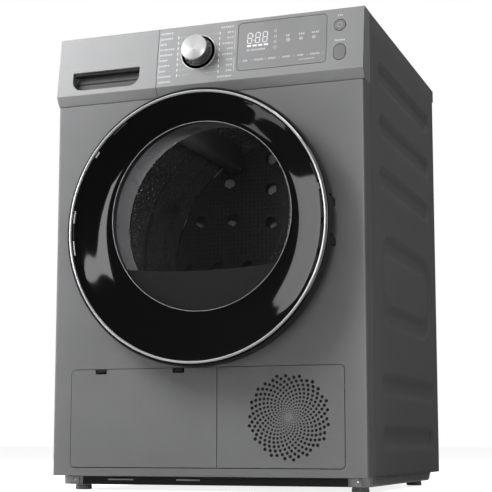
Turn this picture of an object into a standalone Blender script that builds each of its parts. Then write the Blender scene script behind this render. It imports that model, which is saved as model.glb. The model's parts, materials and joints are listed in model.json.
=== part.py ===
"""Front-loading heat-pump clothes dryer: cabinet, console, door, drum and drive.

Metres, +Z up, front towards -Y. The origin lies on the floor, under the middle of the whole dryer.
"back" in a comment or a name is the distance behind the front panel's outer face.
"""

import math

import bmesh
import bpy
from mathutils import Matrix

# Driving dimensions of the cabinet
WIDTH = 0.597
HEIGHT = 0.850
HALF = WIDTH / 2
DOOR_PROUD = 0.0575
REAR_SHEET = 0.590
DUCT_BACK = 0.612
FRONT_Y = -(DUCT_BACK - DOOR_PROUD) / 2
SHEET = 0.001
GAP = 0.0005
SHEET_BOTTOM = 0.026
SEAM_Z = 0.716
LID_Z = 0.8245

# Door, drum mouth and drum
DOOR_Z = 0.465
PORT_Z = 0.487
PORT_RADIUS = 0.205
MOUTH_RADIUS = 0.182
DRUM_Z = 0.474
DRUM_RADIUS = 0.283
DRUM_WALL = 0.0015
DRUM_FRONT = 0.075
DRUM_BACK = 0.545
LIFTER_ANGLES = (90, 210, 330)
HINGE_X = 0.238
HINGE_BACK = -0.034
HINGE_ARM_Z = (DOOR_Z - 0.035, DOOR_Z + 0.035)

# Console: a face leaning back between the crease and the top edge
CREASE_BACK, CREASE_Z = -0.010, 0.734
TOP_BACK = 0.006
CONSOLE_TILT = math.atan2(TOP_BACK - CREASE_BACK, HEIGHT - CREASE_Z)
CONSOLE_BACK = 0.0405
DRAWER_RIGHT = -0.0948
KNOB_X, KNOB_UP = -0.0135, 0.0616
POWER_X, POWER_UP, POWER_RADIUS = 0.2546, 0.0845, 0.0108
START_X, START_UP, START_HALF_WIDTH, START_HALF_HEIGHT = 0.2552, 0.0328, 0.0112, 0.0150
DISPLAY = (0.0630, 0.0158, 0.2310, 0.1098)

# Service opening under the door
SERVICE = (-0.2625, 0.038, 0.2625, 0.2195)
SERVICE_CORNER = 0.011
DIVIDER_X = 0.0245
FLAP_AXIS_BACK, FLAP_AXIS_Z = 0.0045, 0.0545
FLAP_PIN_RADIUS = 0.0017
LUG_HALF = 0.0040
LATCH_X = (-0.2018, -0.0494)
GRILLE_X, GRILLE_Z, GRILLE_RADIUS = 0.1595, 0.129, 0.078

# Drive and feet
MOTOR_X, MOTOR_Z, MOTOR_RADIUS = 0.205, 0.125, 0.055
PULLEY_RADIUS = 0.012
BELT_BACK = (0.300, 0.312)
ROLLER_RADIUS = 0.030
ROLLER_ANGLE = math.radians(35)
FOOT_X = 0.266
FOOT_BACKS = {"front": 0.064, "rear": 0.490}

STEPS = 40

for old in list(bpy.data.objects):
    bpy.data.objects.remove(old)


# Materials
def finish(name, colour, roughness, metallic=0.0, transmission=0.0):
    made = bpy.data.materials.new(name)
    made.use_nodes = True
    shader = made.node_tree.nodes["Principled BSDF"]
    shader.inputs["Base Color"].default_value = (*colour, 1)
    shader.inputs["Roughness"].default_value = roughness
    shader.inputs["Metallic"].default_value = metallic
    shader.inputs["Transmission Weight"].default_value = transmission
    made.diffuse_color = (*colour, 1)
    return made


GREY_PAINT = finish("grey_paint", (0.21, 0.21, 0.215), 0.45, 0.4)
SIDE_PAINT = finish("side_paint", (0.12, 0.12, 0.125), 0.5, 0.3)
CONSOLE_PLASTIC = finish("console_plastic", (0.27, 0.27, 0.275), 0.4, 0.4)
DARK_PLASTIC = finish("dark_plastic", (0.02, 0.02, 0.021), 0.5)
GLOSS_BLACK = finish("gloss_black", (0.008, 0.008, 0.009), 0.08)
SMOKED = finish("smoked_glass", (0.15, 0.15, 0.16), 0.05, 0.0, 0.9)
CLEAR = finish("clear_glass", (0.9, 0.9, 0.9), 0.03, 0.0, 0.95)
CHROME = finish("chrome", (0.85, 0.85, 0.86), 0.12, 1.0)
SPUN_METAL = finish("spun_metal", (0.75, 0.75, 0.76), 0.25, 1.0)
DRUM_STEEL = finish("drum_steel", (0.6, 0.6, 0.61), 0.3, 1.0)
ZINC = finish("zinc_sheet", (0.55, 0.56, 0.58), 0.45, 1.0)
PALE_PLASTIC = finish("pale_plastic", (0.45, 0.45, 0.45), 0.55)
WHITE_PLASTIC = finish("white_plastic", (0.75, 0.75, 0.74), 0.5)
RUBBER = finish("rubber", (0.03, 0.03, 0.03), 0.8)
CAST_METAL = finish("cast_metal", (0.06, 0.06, 0.065), 0.5, 0.6)
FIN_METAL = finish("fin_metal", (0.7, 0.71, 0.72), 0.35, 1.0)
CIRCUIT = finish("circuit_board", (0.03, 0.16, 0.07), 0.5)
MESH_GREY = finish("filter_grey", (0.3, 0.3, 0.31), 0.6)


# Shapes
def behind(back):
    """World y of a distance behind the front panel."""
    return FRONT_Y + back


def solid(name, points, faces, look, smooth=False):
    mesh = bpy.data.meshes.new(name)
    mesh.from_pydata([tuple(p) for p in points], [], faces)
    work = bmesh.new()
    work.from_mesh(mesh)
    bmesh.ops.recalc_face_normals(work, faces=work.faces)
    work.to_mesh(mesh)
    work.free()
    mesh.materials.append(look)
    if smooth:
        mesh.shade_smooth()
        mesh.set_sharp_from_angle(angle=math.radians(35))
    made = bpy.data.objects.new(name, mesh)
    bpy.context.scene.collection.objects.link(made)
    return made


def box(name, xs, backs, zs, look):
    """A block between two x values, two distances behind the front panel and two heights."""
    points = [(x, behind(b), z) for x in xs for b in backs for z in zs]
    faces = [(0, 1, 3, 2), (4, 6, 7, 5), (0, 4, 5, 1), (2, 3, 7, 6), (0, 2, 6, 4), (1, 5, 7, 3)]
    return solid(name, points, faces, look)


def skin(name, loops, look, ends="wrapped"):
    """Joins equal loops of points. The last loop meets the first, or both ends are capped flat."""
    count = len(loops[0])
    points = [p for loop in loops for p in loop]
    faces = []
    spans = len(loops) if ends == "wrapped" else len(loops) - 1
    for i in range(spans):
        j = (i + 1) % len(loops)
        for k in range(count):
            n = (k + 1) % count
            faces.append((i * count + k, i * count + n, j * count + n, j * count + k))
    if ends == "capped":
        last = (len(loops) - 1) * count
        faces += [tuple(range(count)), tuple(last + k for k in range(count))]
    return solid(name, points, faces, look, smooth=True)


def circle(radius, back, centre_z, centre_x=0.0, steps=STEPS):
    turn = 2 * math.pi / steps
    return [
        (
            centre_x + radius * math.sin(k * turn),
            behind(back),
            centre_z + radius * math.cos(k * turn),
        )
        for k in range(steps)
    ]


def ring(name, section, look, centre_z, centre_x=0.0, steps=STEPS):
    """A turned ring about a line along Y. A section point is (radius, back[, its own centre height])."""
    loops = [circle(p[0], p[1], p[2] if len(p) > 2 else centre_z, centre_x, steps) for p in section]
    return skin(name, loops, look)


def disc(name, section, look, centre_z, centre_x=0.0, steps=STEPS):
    """A turned solid whose section, (radius, back), starts and ends on a flat round face."""
    loops = [circle(p[0], p[1], centre_z, centre_x, steps) for p in section]
    return skin(name, loops, look, "capped")


def post(name, section, look, x, back, steps=20):
    """A turned solid on a vertical axis. Its section is (radius, height), from the bottom up."""
    turn = 2 * math.pi / steps
    loops = [
        [
            (x + r * math.cos(k * turn), behind(back) + r * math.sin(k * turn), z)
            for k in range(steps)
        ]
        for r, z in section
    ]
    return skin(name, loops, look, "capped")


def rounded(x0, z0, x1, z1, radius, steps=5):
    """The outline of a rounded rectangle, in x and z."""
    corners = ((x1, z1, 0), (x0, z1, 90), (x0, z0, 180), (x1, z0, 270))
    outline = []
    for x, z, start in corners:
        cx = x - radius if x == x1 else x + radius
        cz = z - radius if z == z1 else z + radius
        for k in range(steps + 1):
            angle = math.radians(start + 90 * k / steps)
            outline.append((cx + radius * math.cos(angle), cz + radius * math.sin(angle)))
    return outline


def plate(name, outline, backs, look):
    """An outline in x and z, as thick as the two distances behind the front panel say."""
    return skin(name, [[(x, behind(b), z) for x, z in outline] for b in backs], look, "capped")


def across(name, outline, xs, look):
    """An outline in back and z, drawn out along X."""
    return skin(name, [[(x, behind(b), z) for b, z in outline] for x in xs], look, "capped")


def boolean(target, helper, operation):
    helper.hide_render = True
    helper.display_type = "WIRE"
    change = target.modifiers.new(helper.name, "BOOLEAN")
    change.operation = operation
    change.solver = "EXACT"
    change.object = helper
    return target


def cut(target, *helpers):
    for helper in helpers:
        boolean(target, helper, "DIFFERENCE")
    return target


def join(target, *helpers):
    for helper in helpers:
        boolean(target, helper, "UNION")
    return target


def pivot(name, x, back, z):
    """An empty on a joint's axis, which the moving pieces hang from."""
    made = bpy.data.objects.new(name, None)
    made.location = (x, behind(back), z)
    bpy.context.scene.collection.objects.link(made)
    return made


def hang(parent, *pieces):
    """Parents pieces that were modelled in world space, and leaves them where they are."""
    for piece in pieces:
        piece.data.transform(piece.matrix_basis)
        piece.data.transform(parent.matrix_basis.inverted())
        piece.matrix_basis.identity()
        piece.parent = parent


# Base moulding with its foot wells
tray_outer = [(0.034, 0.010), (0.516, 0.010), (0.552, 0.030), (0.552, 0.060), (0.034, 0.060)]
tray_inner = [(0.037, 0.013), (0.5145, 0.013), (0.549, 0.0315), (0.549, 0.070), (0.037, 0.070)]
base_tray = across("base_tray", tray_outer, (-0.290, 0.290), PALE_PLASTIC)
cut(base_tray, across("tray_hollow", tray_inner, (-0.287, 0.287), PALE_PLASTIC))
motor_post = (MOTOR_X - 0.040, MOTOR_X + 0.040)
join(base_tray, box("motor_post", motor_post, (0.37, 0.43), (0.012, 0.0695), PALE_PLASTIC))
for side, sign in (("left", -1), ("right", 1)):
    for end, back in FOOT_BACKS.items():
        where = (sign * FOOT_X, back)
        boss = [(0.0195, 0.0115), (0.0195, 0.0240)]
        well = [(0.0165, 0.0), (0.0165, 0.0195), (0.0055, 0.0195), (0.0055, 0.0300)]
        join(base_tray, post(f"boss_{end}_{side}", boss, PALE_PLASTIC, *where))
        cut(base_tray, post(f"well_{end}_{side}", well, PALE_PLASTIC, *where))
        foot_section = [
            (0.0145, 0.0),
            (0.0155, 0.0020),
            (0.0150, 0.0175),
            (0.0140, 0.0190),
            (0.0050, 0.0190),
            (0.0050, 0.0360),
        ]
        foot = post(f"foot_{end}_{side}", foot_section, PALE_PLASTIC, *where)
        hang(pivot(f"foot_{end}_{side}_screw", *where, 0.0), foot)

# Small angle brackets that tie the front panel's bottom flange to the base
for side, sign in (("left", -1), ("right", 1)):
    xs = sorted((sign * 0.259, sign * 0.277))
    bracket = box(f"corner_bracket_{side}", xs, (0.0300, 0.0315), (0.0110, 0.0254), ZINC)
    join(bracket, box(f"bracket_tab_{side}", xs, (0.0100, 0.0310), (0.0240, 0.0253), ZINC))

# Side panels: folded sheets with ribs pressed inwards
RIB_DEPTH = 0.004
RIB_BORDER = 0.010
RIB_BACKS = (0.098, 0.540)
RIB_HALF = 0.0215
RIB_CENTRES = (0.756, 0.660, 0.564, 0.444, 0.3145, 0.188, 0.093)
RING_BACKS = (0.150, 0.490)


def rib_depth(back, z):
    """How far the sheet is pressed in: full inside each rib, and round the ring's two ends."""
    inside = RIB_BACKS[0] + RIB_BORDER <= back <= RIB_BACKS[1] - RIB_BORDER
    if not inside:
        return 0.0
    for centre in RIB_CENTRES:
        if abs(z - centre) <= RIB_HALF - RIB_BORDER + 1e-6:
            return RIB_DEPTH
    in_ring = RIB_CENTRES[4] < z < RIB_CENTRES[3]
    return RIB_DEPTH if in_ring and not RING_BACKS[0] < back < RING_BACKS[1] else 0.0


def side_panel(name, sign):
    backs = [0.0415, RIB_BACKS[0], RIB_BACKS[0] + RIB_BORDER]
    backs += [RING_BACKS[0] - 0.001, RING_BACKS[0] + RIB_BORDER]
    backs += [RING_BACKS[1] - RIB_BORDER, RING_BACKS[1] + 0.001]
    backs += [RIB_BACKS[1] - RIB_BORDER, RIB_BACKS[1], REAR_SHEET + SHEET]
    heights = [SHEET_BOTTOM, LID_Z - GAP]
    for centre in RIB_CENTRES:
        heights += [centre - RIB_HALF, centre - RIB_HALF + RIB_BORDER]
        heights += [centre + RIB_HALF - RIB_BORDER, centre + RIB_HALF]
    heights.sort()

    def row(z, inner):
        flange = 0.008
        outer_x = HALF - (SHEET if inner else 0.0)
        first = backs[0] + (SHEET if inner else 0.0)
        last = backs[-1] - (SHEET if inner else 0.0)
        line = [(HALF - flange, first)]
        for back in [first, *backs[1:-1], last]:
            line.append((outer_x - rib_depth(back, z), back))
        return line + [(HALF - flange, last)]

    loops = []
    for z in heights:
        section = row(z, False) + row(z, True)[::-1]
        loops.append([(sign * x, behind(back), z) for x, back in section])
    return skin(name, loops, SIDE_PAINT, "capped")


side_panel("side_panel_left", -1)
side_panel("side_panel_right", 1)

# Front panel: a pressed sheet with the door port, the service opening and folded edges
front_panel = box(
    "front_panel", (-HALF, HALF), (0.0, 0.038), (SHEET_BOTTOM, SEAM_Z), GREY_PAINT
)
panel_hollow = box(
    "panel_hollow",
    (-HALF + SHEET, HALF - SHEET),
    (SHEET, 0.050),
    (SHEET_BOTTOM + SHEET, SEAM_Z - SHEET),
    GREY_PAINT,
)
port = disc("port", [(PORT_RADIUS, -0.010), (PORT_RADIUS, 0.010)], GREY_PAINT, PORT_Z)
service_hole = plate("service_hole", rounded(*SERVICE, SERVICE_CORNER), (-0.01, 0.01), GREY_PAINT)
keeper_slot = box("keeper_slot", (-0.2245, -0.2110), (-0.01, 0.01), (0.4525, 0.4775), GREY_PAINT)
cut(front_panel, panel_hollow, port, service_hole, keeper_slot)
flange_trim = box("flange_trim", (-0.2970, 0.2970), (0.0325, 0.050), (0.020, 0.0275), GREY_PAINT)
cut(front_panel, flange_trim)
for index, z in enumerate(HINGE_ARM_Z):
    slot = (z - 0.0070, z + 0.0070)
    xs = (HINGE_X - 0.0055, HINGE_X + 0.0055)
    cut(front_panel, box(f"arm_slot_{index}", xs, (-0.01, 0.01), slot, GREY_PAINT))

# Rear sheet with the drum's shaft bearing and the hot air openings
rear_panel = box(
    "rear_panel", (-0.2965, 0.2965), (0.5885, 0.5895), (0.0620, LID_Z - GAP), ZINC
)
bearing = disc("bearing_boss", [(0.022, 0.560), (0.022, 0.5890)], ZINC, DRUM_Z)
join(rear_panel, bearing)
cut(rear_panel, disc("bearing_bore", [(0.0125, 0.55), (0.0125, 0.60)], ZINC, DRUM_Z))
for index in range(6):
    turn = math.radians(60 * index)
    hole_x, hole_z = 0.130 * math.sin(turn), DRUM_Z + 0.130 * math.cos(turn)
    hole = [(0.050, 0.58), (0.050, 0.60)]
    cut(rear_panel, disc(f"air_hole_{index}", hole, ZINC, hole_z, hole_x, 16))
fan_outlet = [(0.045, 0.58), (0.045, 0.60)]
cut(rear_panel, disc("fan_outlet", fan_outlet, ZINC, MOTOR_Z, MOTOR_X, 24))

# Rear duct cover: a shallow pan that leads the hot air up behind the drum
duct_outline = rounded(-0.252, 0.075, 0.262, 0.720, 0.060, 6)
duct_inner = rounded(-0.250, 0.077, 0.260, 0.718, 0.058, 6)
rear_duct_cover = plate("rear_duct_cover", duct_outline, (0.5900, DUCT_BACK), ZINC)
cut(rear_duct_cover, plate("duct_hollow", duct_inner, (0.580, DUCT_BACK - 0.002), ZINC))

# Lid: a hollow worktop
top_cover = box("top_cover", (-HALF, HALF), (0.0410, 0.600), (LID_Z, HEIGHT), GREY_PAINT)
edge = top_cover.modifiers.new("Edge", "BEVEL")
edge.width = 0.002
edge.segments = 2
lid_hollow = box(
    "lid_hollow", (-HALF + 0.003, HALF - 0.003), (0.044, 0.597), (0.80, HEIGHT - 0.003), GREY_PAINT
)
cut(top_cover, lid_hollow)

# Mains inlet gland on the rear sheet
ring(
    "cord_gland",
    [(0.0110, 0.5900), (0.0110, 0.5930), (0.0065, 0.5945), (0.0060, 0.6060), (0.0042, 0.6060),
     (0.0042, 0.5900)],
    DARK_PLASTIC,
    0.120,
    -0.275,
    16,
)

# Service flap on its hinge pin, its two catches and the fixed grille beside it
flap_outline = rounded(SERVICE[0] + 0.001, 0.0405, DIVIDER_X - 0.0005, 0.2185, 0.010)
service_flap = plate("service_flap", flap_outline, (-0.0005, 0.0020), GREY_PAINT)
def pin_section(radius):
    """A twelve-sided section round the flap's axis."""
    turns = [k * math.pi / 6 for k in range(12)]
    return [
        (FLAP_AXIS_BACK + radius * math.cos(turn), FLAP_AXIS_Z + radius * math.sin(turn))
        for turn in turns
    ]


def flap_lug(name, x, half_width, front):
    """A block behind the sheet that the hinge pin passes through."""
    lug_height = (FLAP_AXIS_Z - LUG_HALF, FLAP_AXIS_Z + LUG_HALF)
    return box(name, (x - half_width, x + half_width), (front, 0.0085), lug_height, GREY_PAINT)


for index, x in enumerate((-0.225, -0.119, -0.013)):
    join(service_flap, flap_lug(f"lug_{index}", x, 0.0060, 0.0015))
pin_hole = across("pin_hole", pin_section(FLAP_PIN_RADIUS + 0.0005), (-0.28, 0.04), GREY_PAINT)
cut(service_flap, pin_hole)
join(front_panel, flap_lug("pin_ear_left", -0.2700, 0.0035, 0.0005))
cut(front_panel, pin_hole)
across("flap_hinge_pin", pin_section(FLAP_PIN_RADIUS), (-0.2730, 0.0340), ZINC)
for index, x in enumerate(LATCH_X):
    xs = (x - 0.0110, x + 0.0110)
    cut(service_flap, box(f"notch_{index}", xs, (-0.01, 0.01), (0.2090, 0.23), GREY_PAINT))
flap_hinge = pivot("flap_hinge", 0.0, FLAP_AXIS_BACK, FLAP_AXIS_Z)
hang(flap_hinge, service_flap)
for side, x in zip(("left", "right"), LATCH_X):
    catch = box(f"flap_catch_{side}", (x - 0.0105, x + 0.0065), (0.0003, 0.0110),
                (0.2140, 0.2183), DARK_PLASTIC)
    hook = box(f"catch_hook_{side}", (x + 0.0035, x + 0.0060), (-0.0003, 0.0090),
               (0.2145, 0.2180), DARK_PLASTIC)
    join(catch, hook)
    hang(flap_hinge, catch)
grille_outline = rounded(DIVIDER_X + 0.0005, 0.0390, SERVICE[2] - 0.001, 0.2185, 0.010)
grille_panel = plate("grille_panel", grille_outline, (-0.0005, 0.0020), GREY_PAINT)
GRILLE_HOLES = 46
for index in range(3, GRILLE_HOLES):
    reach = GRILLE_RADIUS * math.sqrt(index / GRILLE_HOLES)
    turn = index * math.pi * (3 - math.sqrt(5))
    size = 0.0022 + 0.0028 * reach / GRILLE_RADIUS
    hole = disc(
        f"grille_hole_{index}",
        [(size, -0.01), (size, 0.01)],
        GREY_PAINT,
        GRILLE_Z + reach * math.cos(turn),
        GRILLE_X + reach * math.sin(turn),
        6,
    )
    cut(grille_panel, hole)
join(grille_panel, flap_lug("pin_ear_right", 0.0315, 0.0030, 0.0015))
cut(grille_panel, pin_hole)

# Console, modelled in its own frame: x, depth into the face, and height up the face from the crease
console_face = pivot("console_face", 0.0, CREASE_BACK, CREASE_Z)
console_face.rotation_euler = (-CONSOLE_TILT, 0, 0)


def on_console(x, up, *pieces):
    """Puts pieces modelled at the console's own x, depth and height onto the leaning face."""
    for piece in pieces:
        piece.data.transform(Matrix.Translation((-x, -FRONT_Y, -up)))
        piece.location = (x, 0, up)
        piece.parent = console_face


console_outer = [
    (0.0, SEAM_Z + GAP),
    (CREASE_BACK, CREASE_Z),
    (TOP_BACK, HEIGHT),
    (CONSOLE_BACK, HEIGHT),
    (CONSOLE_BACK, SEAM_Z + GAP),
]
console_inner = [
    (0.0025, SEAM_Z + 0.003),
    (CREASE_BACK + 0.0027, CREASE_Z + 0.0005),
    (TOP_BACK + 0.0023, HEIGHT - 0.0025),
    (0.050, HEIGHT - 0.0025),
    (0.050, SEAM_Z + 0.003),
]
fascia_left = DRAWER_RIGHT + 0.001
control_fascia = across("control_fascia", console_outer, (fascia_left, HALF), CONSOLE_PLASTIC)
fascia_inside = (fascia_left + 0.0025, HALF - 0.0025)
cut(control_fascia, across("fascia_hollow", console_inner, fascia_inside, CONSOLE_PLASTIC))
tank_frame = box(
    "tank_frame", (-0.2950, -0.0920), (0.0180, 0.0205), (0.7200, 0.8465), CONSOLE_PLASTIC
)
tank_window = box("tank_window", (-0.2845, -0.1055), (0.0, 0.04), (0.744, 0.820), CONSOLE_PLASTIC)
join(control_fascia, tank_frame)
cut(control_fascia, tank_window)
knob_hole = disc("knob_hole", [(0.0347, -0.01), (0.0347, 0.01)], CONSOLE_PLASTIC, KNOB_UP, KNOB_X)
on_console(KNOB_X, KNOB_UP, knob_hole)
display_hole = plate(
    "display_hole",
    rounded(DISPLAY[0] - GAP, DISPLAY[1] - GAP, DISPLAY[2] + GAP, DISPLAY[3] + GAP, 0.0085),
    (-0.01, 0.01),
    CONSOLE_PLASTIC,
)
on_console(0, 0, display_hole)


def power_outline(extra):
    radius = POWER_RADIUS + extra
    sides = (POWER_X - radius, POWER_UP - radius, POWER_X + radius, POWER_UP + radius)
    return rounded(*sides, radius)


def start_outline(extra):
    wide, high = START_HALF_WIDTH + extra, START_HALF_HEIGHT + extra
    sides = (START_X - wide, START_UP - high, START_X + wide, START_UP + high)
    return rounded(*sides, wide)


power_hole = plate("power_hole", power_outline(GAP), (-0.01, 0.01), CONSOLE_PLASTIC)
start_hole = plate("start_hole", start_outline(GAP), (-0.01, 0.01), CONSOLE_PLASTIC)
on_console(POWER_X, POWER_UP, power_hole)
on_console(START_X, START_UP, start_hole)
cut(control_fascia, knob_hole, display_hole, power_hole, start_hole)

display_window = plate("display_window", rounded(*DISPLAY, 0.008), (0.0001, 0.0020), SMOKED)
on_console(0, 0, display_window)
power_button = plate("power_button", power_outline(0), (-0.0006, 0.0040), CONSOLE_PLASTIC)
on_console(POWER_X, POWER_UP, power_button)
start_button = plate("start_button", start_outline(0), (-0.0006, 0.0040), CONSOLE_PLASTIC)
on_console(START_X, START_UP, start_button)

knob_bezel = ring(
    "knob_bezel",
    [(0.0292, -0.0015), (0.0310, -0.0025), (0.0342, -0.0015), (0.0342, 0.0020), (0.0292, 0.0020)],
    CHROME,
    KNOB_UP,
    KNOB_X,
    32,
)
on_console(KNOB_X, KNOB_UP, knob_bezel)
programme_knob = disc(
    "programme_knob",
    [(0.0215, -0.0250), (0.0240, -0.0235), (0.0262, -0.0060), (0.0285, -0.0030), (0.0285, 0.0010)],
    SPUN_METAL,
    KNOB_UP,
    KNOB_X,
    32,
)
knob_bore = disc("knob_bore", [(0.0033, -0.015), (0.0033, 0.01)], SPUN_METAL, KNOB_UP, KNOB_X, 12)
knob_shaft = disc("knob_shaft", [(0.003, -0.0147), (0.003, 0.0141)], ZINC, KNOB_UP, KNOB_X, 12)
on_console(KNOB_X, KNOB_UP, programme_knob, knob_bore, knob_shaft)
cut(programme_knob, knob_bore)
control_board = box("control_board", (-0.080, 0.285), (0.0220, 0.0236), (0.012, 0.105), CIRCUIT)
encoder = box(
    "encoder",
    (KNOB_X - 0.008, KNOB_X + 0.008),
    (0.0145, 0.0225),
    (KNOB_UP - 0.008, KNOB_UP + 0.008),
    CIRCUIT,
)
on_console(0, 0, control_board, encoder)
join(control_board, encoder)

# Water tank drawer: a console front with a finger recess, the tank behind it and its guide
drawer_slide = pivot("drawer_slide", (DRAWER_RIGHT - HALF) / 2, 0.0, 0.780)
tank_drawer_front = across(
    "tank_drawer_front", console_outer, (-HALF, DRAWER_RIGHT), CONSOLE_PLASTIC
)
drawer_inside = (-HALF + 0.0025, DRAWER_RIGHT - 0.0025)
cut(tank_drawer_front, across("drawer_hollow", console_inner, drawer_inside, CONSOLE_PLASTIC))
cheek = (DRAWER_RIGHT - 0.003, DRAWER_RIGHT + 0.001)
cut(tank_drawer_front, box("cheek_trim", cheek, (0.0165, 0.06), (0.70, 0.86), CONSOLE_PLASTIC))
pocket_block = box(
    "pocket_block", (-0.2695, -0.1275), (0.0010, 0.0190), (0.0066, 0.0479), CONSOLE_PLASTIC
)
pocket = box("pocket", (-0.2670, -0.1300), (-0.020, 0.0165), (0.0091, 0.0454), CONSOLE_PLASTIC)
on_console(0, 0, pocket_block, pocket)
join(tank_drawer_front, pocket_block)
cut(tank_drawer_front, pocket)
water_tank = box(
    "water_tank", (-0.2835, -0.1065), (0.0260, 0.4550), (0.7505, 0.8150), WHITE_PLASTIC
)
join(water_tank, box("tank_neck", (-0.27, -0.12), (0.0160, 0.027), (0.755, 0.800), WHITE_PLASTIC))
tank_inside = box(
    "tank_inside", (-0.2810, -0.1090), (0.0285, 0.4525), (0.7530, 0.8125), WHITE_PLASTIC
)
filler = post("filler", [(0.012, 0.80), (0.012, 0.83)], WHITE_PLASTIC, -0.195, 0.400, 16)
cut(water_tank, tank_inside, filler)
hang(drawer_slide, tank_drawer_front, water_tank)
tank_guide = box(
    "tank_guide", (-0.2868, -0.1032), (0.0225, 0.4800), (0.7475, 0.7750), DARK_PLASTIC
)
cut(
    tank_guide,
    box("guide_inside", (-0.2845, -0.1055), (0.0, 0.4775), (0.7497, 0.80), DARK_PLASTIC),
)

# Door: chrome trim, glossy bezel, smoked pane, frame, inner glass, air baffle, hook and hinge
door_hinge = pivot("door_hinge", HINGE_X, HINGE_BACK, DOOR_Z)
bezel_front = [
    (0.2365, -0.0515, DOOR_Z),
    (0.2280, -0.0475, DOOR_Z),
    (0.2120, -0.0400, 0.470),
    (0.1950, -0.0315, 0.476),
    (0.1820, -0.0265, 0.482),
    (0.1715, -0.0245, PORT_Z),
]
BEZEL_WALL = 0.0025
bezel_back = [(r, back + BEZEL_WALL, z) for r, back, z in reversed(bezel_front)]
door_bezel = ring("door_bezel", bezel_front + bezel_back, GLOSS_BLACK, DOOR_Z)
door_trim_ring = ring(
    "door_trim_ring",
    [
        (0.2372, -0.0449),
        (0.2372, -0.0545),
        (0.2385, -0.0568),
        (0.2413, -DOOR_PROUD),
        (0.2440, -0.0566),
        (0.2456, -0.0540),
        (0.2456, -0.0449),
    ],
    CHROME,
    DOOR_Z,
)
FRAME_INNER = 0.174
door_frame = ring(
    "door_frame",
    [
        (FRAME_INNER, -0.0035, PORT_Z),
        (0.2285, -0.0035),
        (0.2462, -0.0200),
        (0.2488, -0.0300),
        (0.2488, -0.0500),
        (0.2478, -0.0515),
        (0.2460, -0.0515),
        (0.2460, -0.0445),
        (0.2385, -0.0445),
        (0.2280, -0.0435),
        (0.2120, -0.0360, 0.470),
        (0.1950, -0.0275, 0.476),
        (0.1820, -0.0225, 0.482),
        (FRAME_INNER, -0.0215, PORT_Z),
    ],
    DARK_PLASTIC,
    DOOR_Z,
)
for index, z in enumerate(HINGE_ARM_Z):
    pocket_z = (z - 0.0085, z + 0.0085)
    cut(door_frame, box(f"arm_pocket_{index}", (HINGE_X - 0.0085, 0.26), (-0.0446, 0.01),
                        pocket_z, DARK_PLASTIC))
PIN_HALF = 0.045
pin_bore = [(0.0035, DOOR_Z - PIN_HALF - GAP), (0.0035, DOOR_Z + PIN_HALF + GAP)]
cut(door_frame, post("pin_bore", pin_bore, DARK_PLASTIC, HINGE_X, HINGE_BACK, 12))
pin = [(0.0032, DOOR_Z - PIN_HALF), (0.0032, DOOR_Z + PIN_HALF)]
door_hinge_pin = post("door_hinge_pin", pin, ZINC, HINGE_X, HINGE_BACK, 12)
door_window = disc(
    "door_window",
    [
        (0.0600, -0.0262),
        (0.1200, -0.0255),
        (0.1708, -0.0242),
        (0.1708, -0.0217),
        (0.1200, -0.0230),
        (0.0600, -0.0237),
    ],
    SMOKED,
    PORT_Z,
)
door_glass = disc(
    "door_glass",
    [
        (0.1180, 0.0128),
        (0.1430, 0.0095),
        (0.1550, 0.0020),
        (0.1610, -0.0031),
        (0.1785, -0.0031),
        (0.1785, 0.0),
        (0.1630, 0.0),
        (0.1580, 0.0040),
        (0.1460, 0.0120),
        (0.1200, 0.0155),
    ],
    CLEAR,
    PORT_Z,
)
BAFFLE_RADIUS = 0.1722
BAFFLE_TOP = 0.397
BAFFLE_SAG = 0.008
baffle_half = math.acos((PORT_Z - BAFFLE_TOP) / BAFFLE_RADIUS)
baffle_outline = []
for k in range(25):
    angle = -baffle_half + 2 * baffle_half * k / 24
    baffle_outline.append(
        (BAFFLE_RADIUS * math.sin(angle), PORT_Z - BAFFLE_RADIUS * math.cos(angle))
    )
chord = BAFFLE_RADIUS * math.sin(baffle_half)
for k in range(1, 8):
    across_it = 1 - 2 * k / 8
    baffle_outline.append((chord * across_it, BAFFLE_TOP - BAFFLE_SAG * (1 - across_it**2)))
door_baffle = plate("door_baffle", baffle_outline, (-0.0150, -0.0120), DARK_PLASTIC)
door_hook = box("door_hook", (-0.2200, -0.2150), (-0.0030, 0.0150), (0.459, 0.471), ZINC)
join(door_hook, box("hook_nose", (-0.2225, -0.2160), (0.0110, 0.0149), (0.4595, 0.4705), ZINC))
hang(
    door_hinge,
    door_trim_ring,
    door_bezel,
    door_frame,
    door_window,
    door_glass,
    door_baffle,
    door_hook,
    door_hinge_pin,
)

hinge_plate = box(
    "hinge_plate", (0.2260, 0.2620), (0.0015, 0.0045), (DOOR_Z - 0.060, DOOR_Z + 0.060), ZINC
)
for index, z in enumerate(HINGE_ARM_Z):
    arm_x = (HINGE_X - 0.0045, HINGE_X + 0.0045)
    join(hinge_plate, box(f"arm_{index}", arm_x, (-0.0390, 0.0030), (z - 0.006, z + 0.006), ZINC))
arm_bore = [(0.0036, DOOR_Z - 0.055), (0.0036, DOOR_Z + 0.055)]
cut(hinge_plate, post("arm_bore", arm_bore, ZINC, HINGE_X, HINGE_BACK, 12))

door_keeper = box("door_keeper", (-0.2290, -0.2085), (0.0015, 0.0220), (0.445, 0.485), DARK_PLASTIC)
keeper_mouth = box("keeper_mouth", (-0.2250, -0.2105), (0.0, 0.0180), (0.452, 0.478), DARK_PLASTIC)
cut(door_keeper, keeper_mouth)

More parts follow.
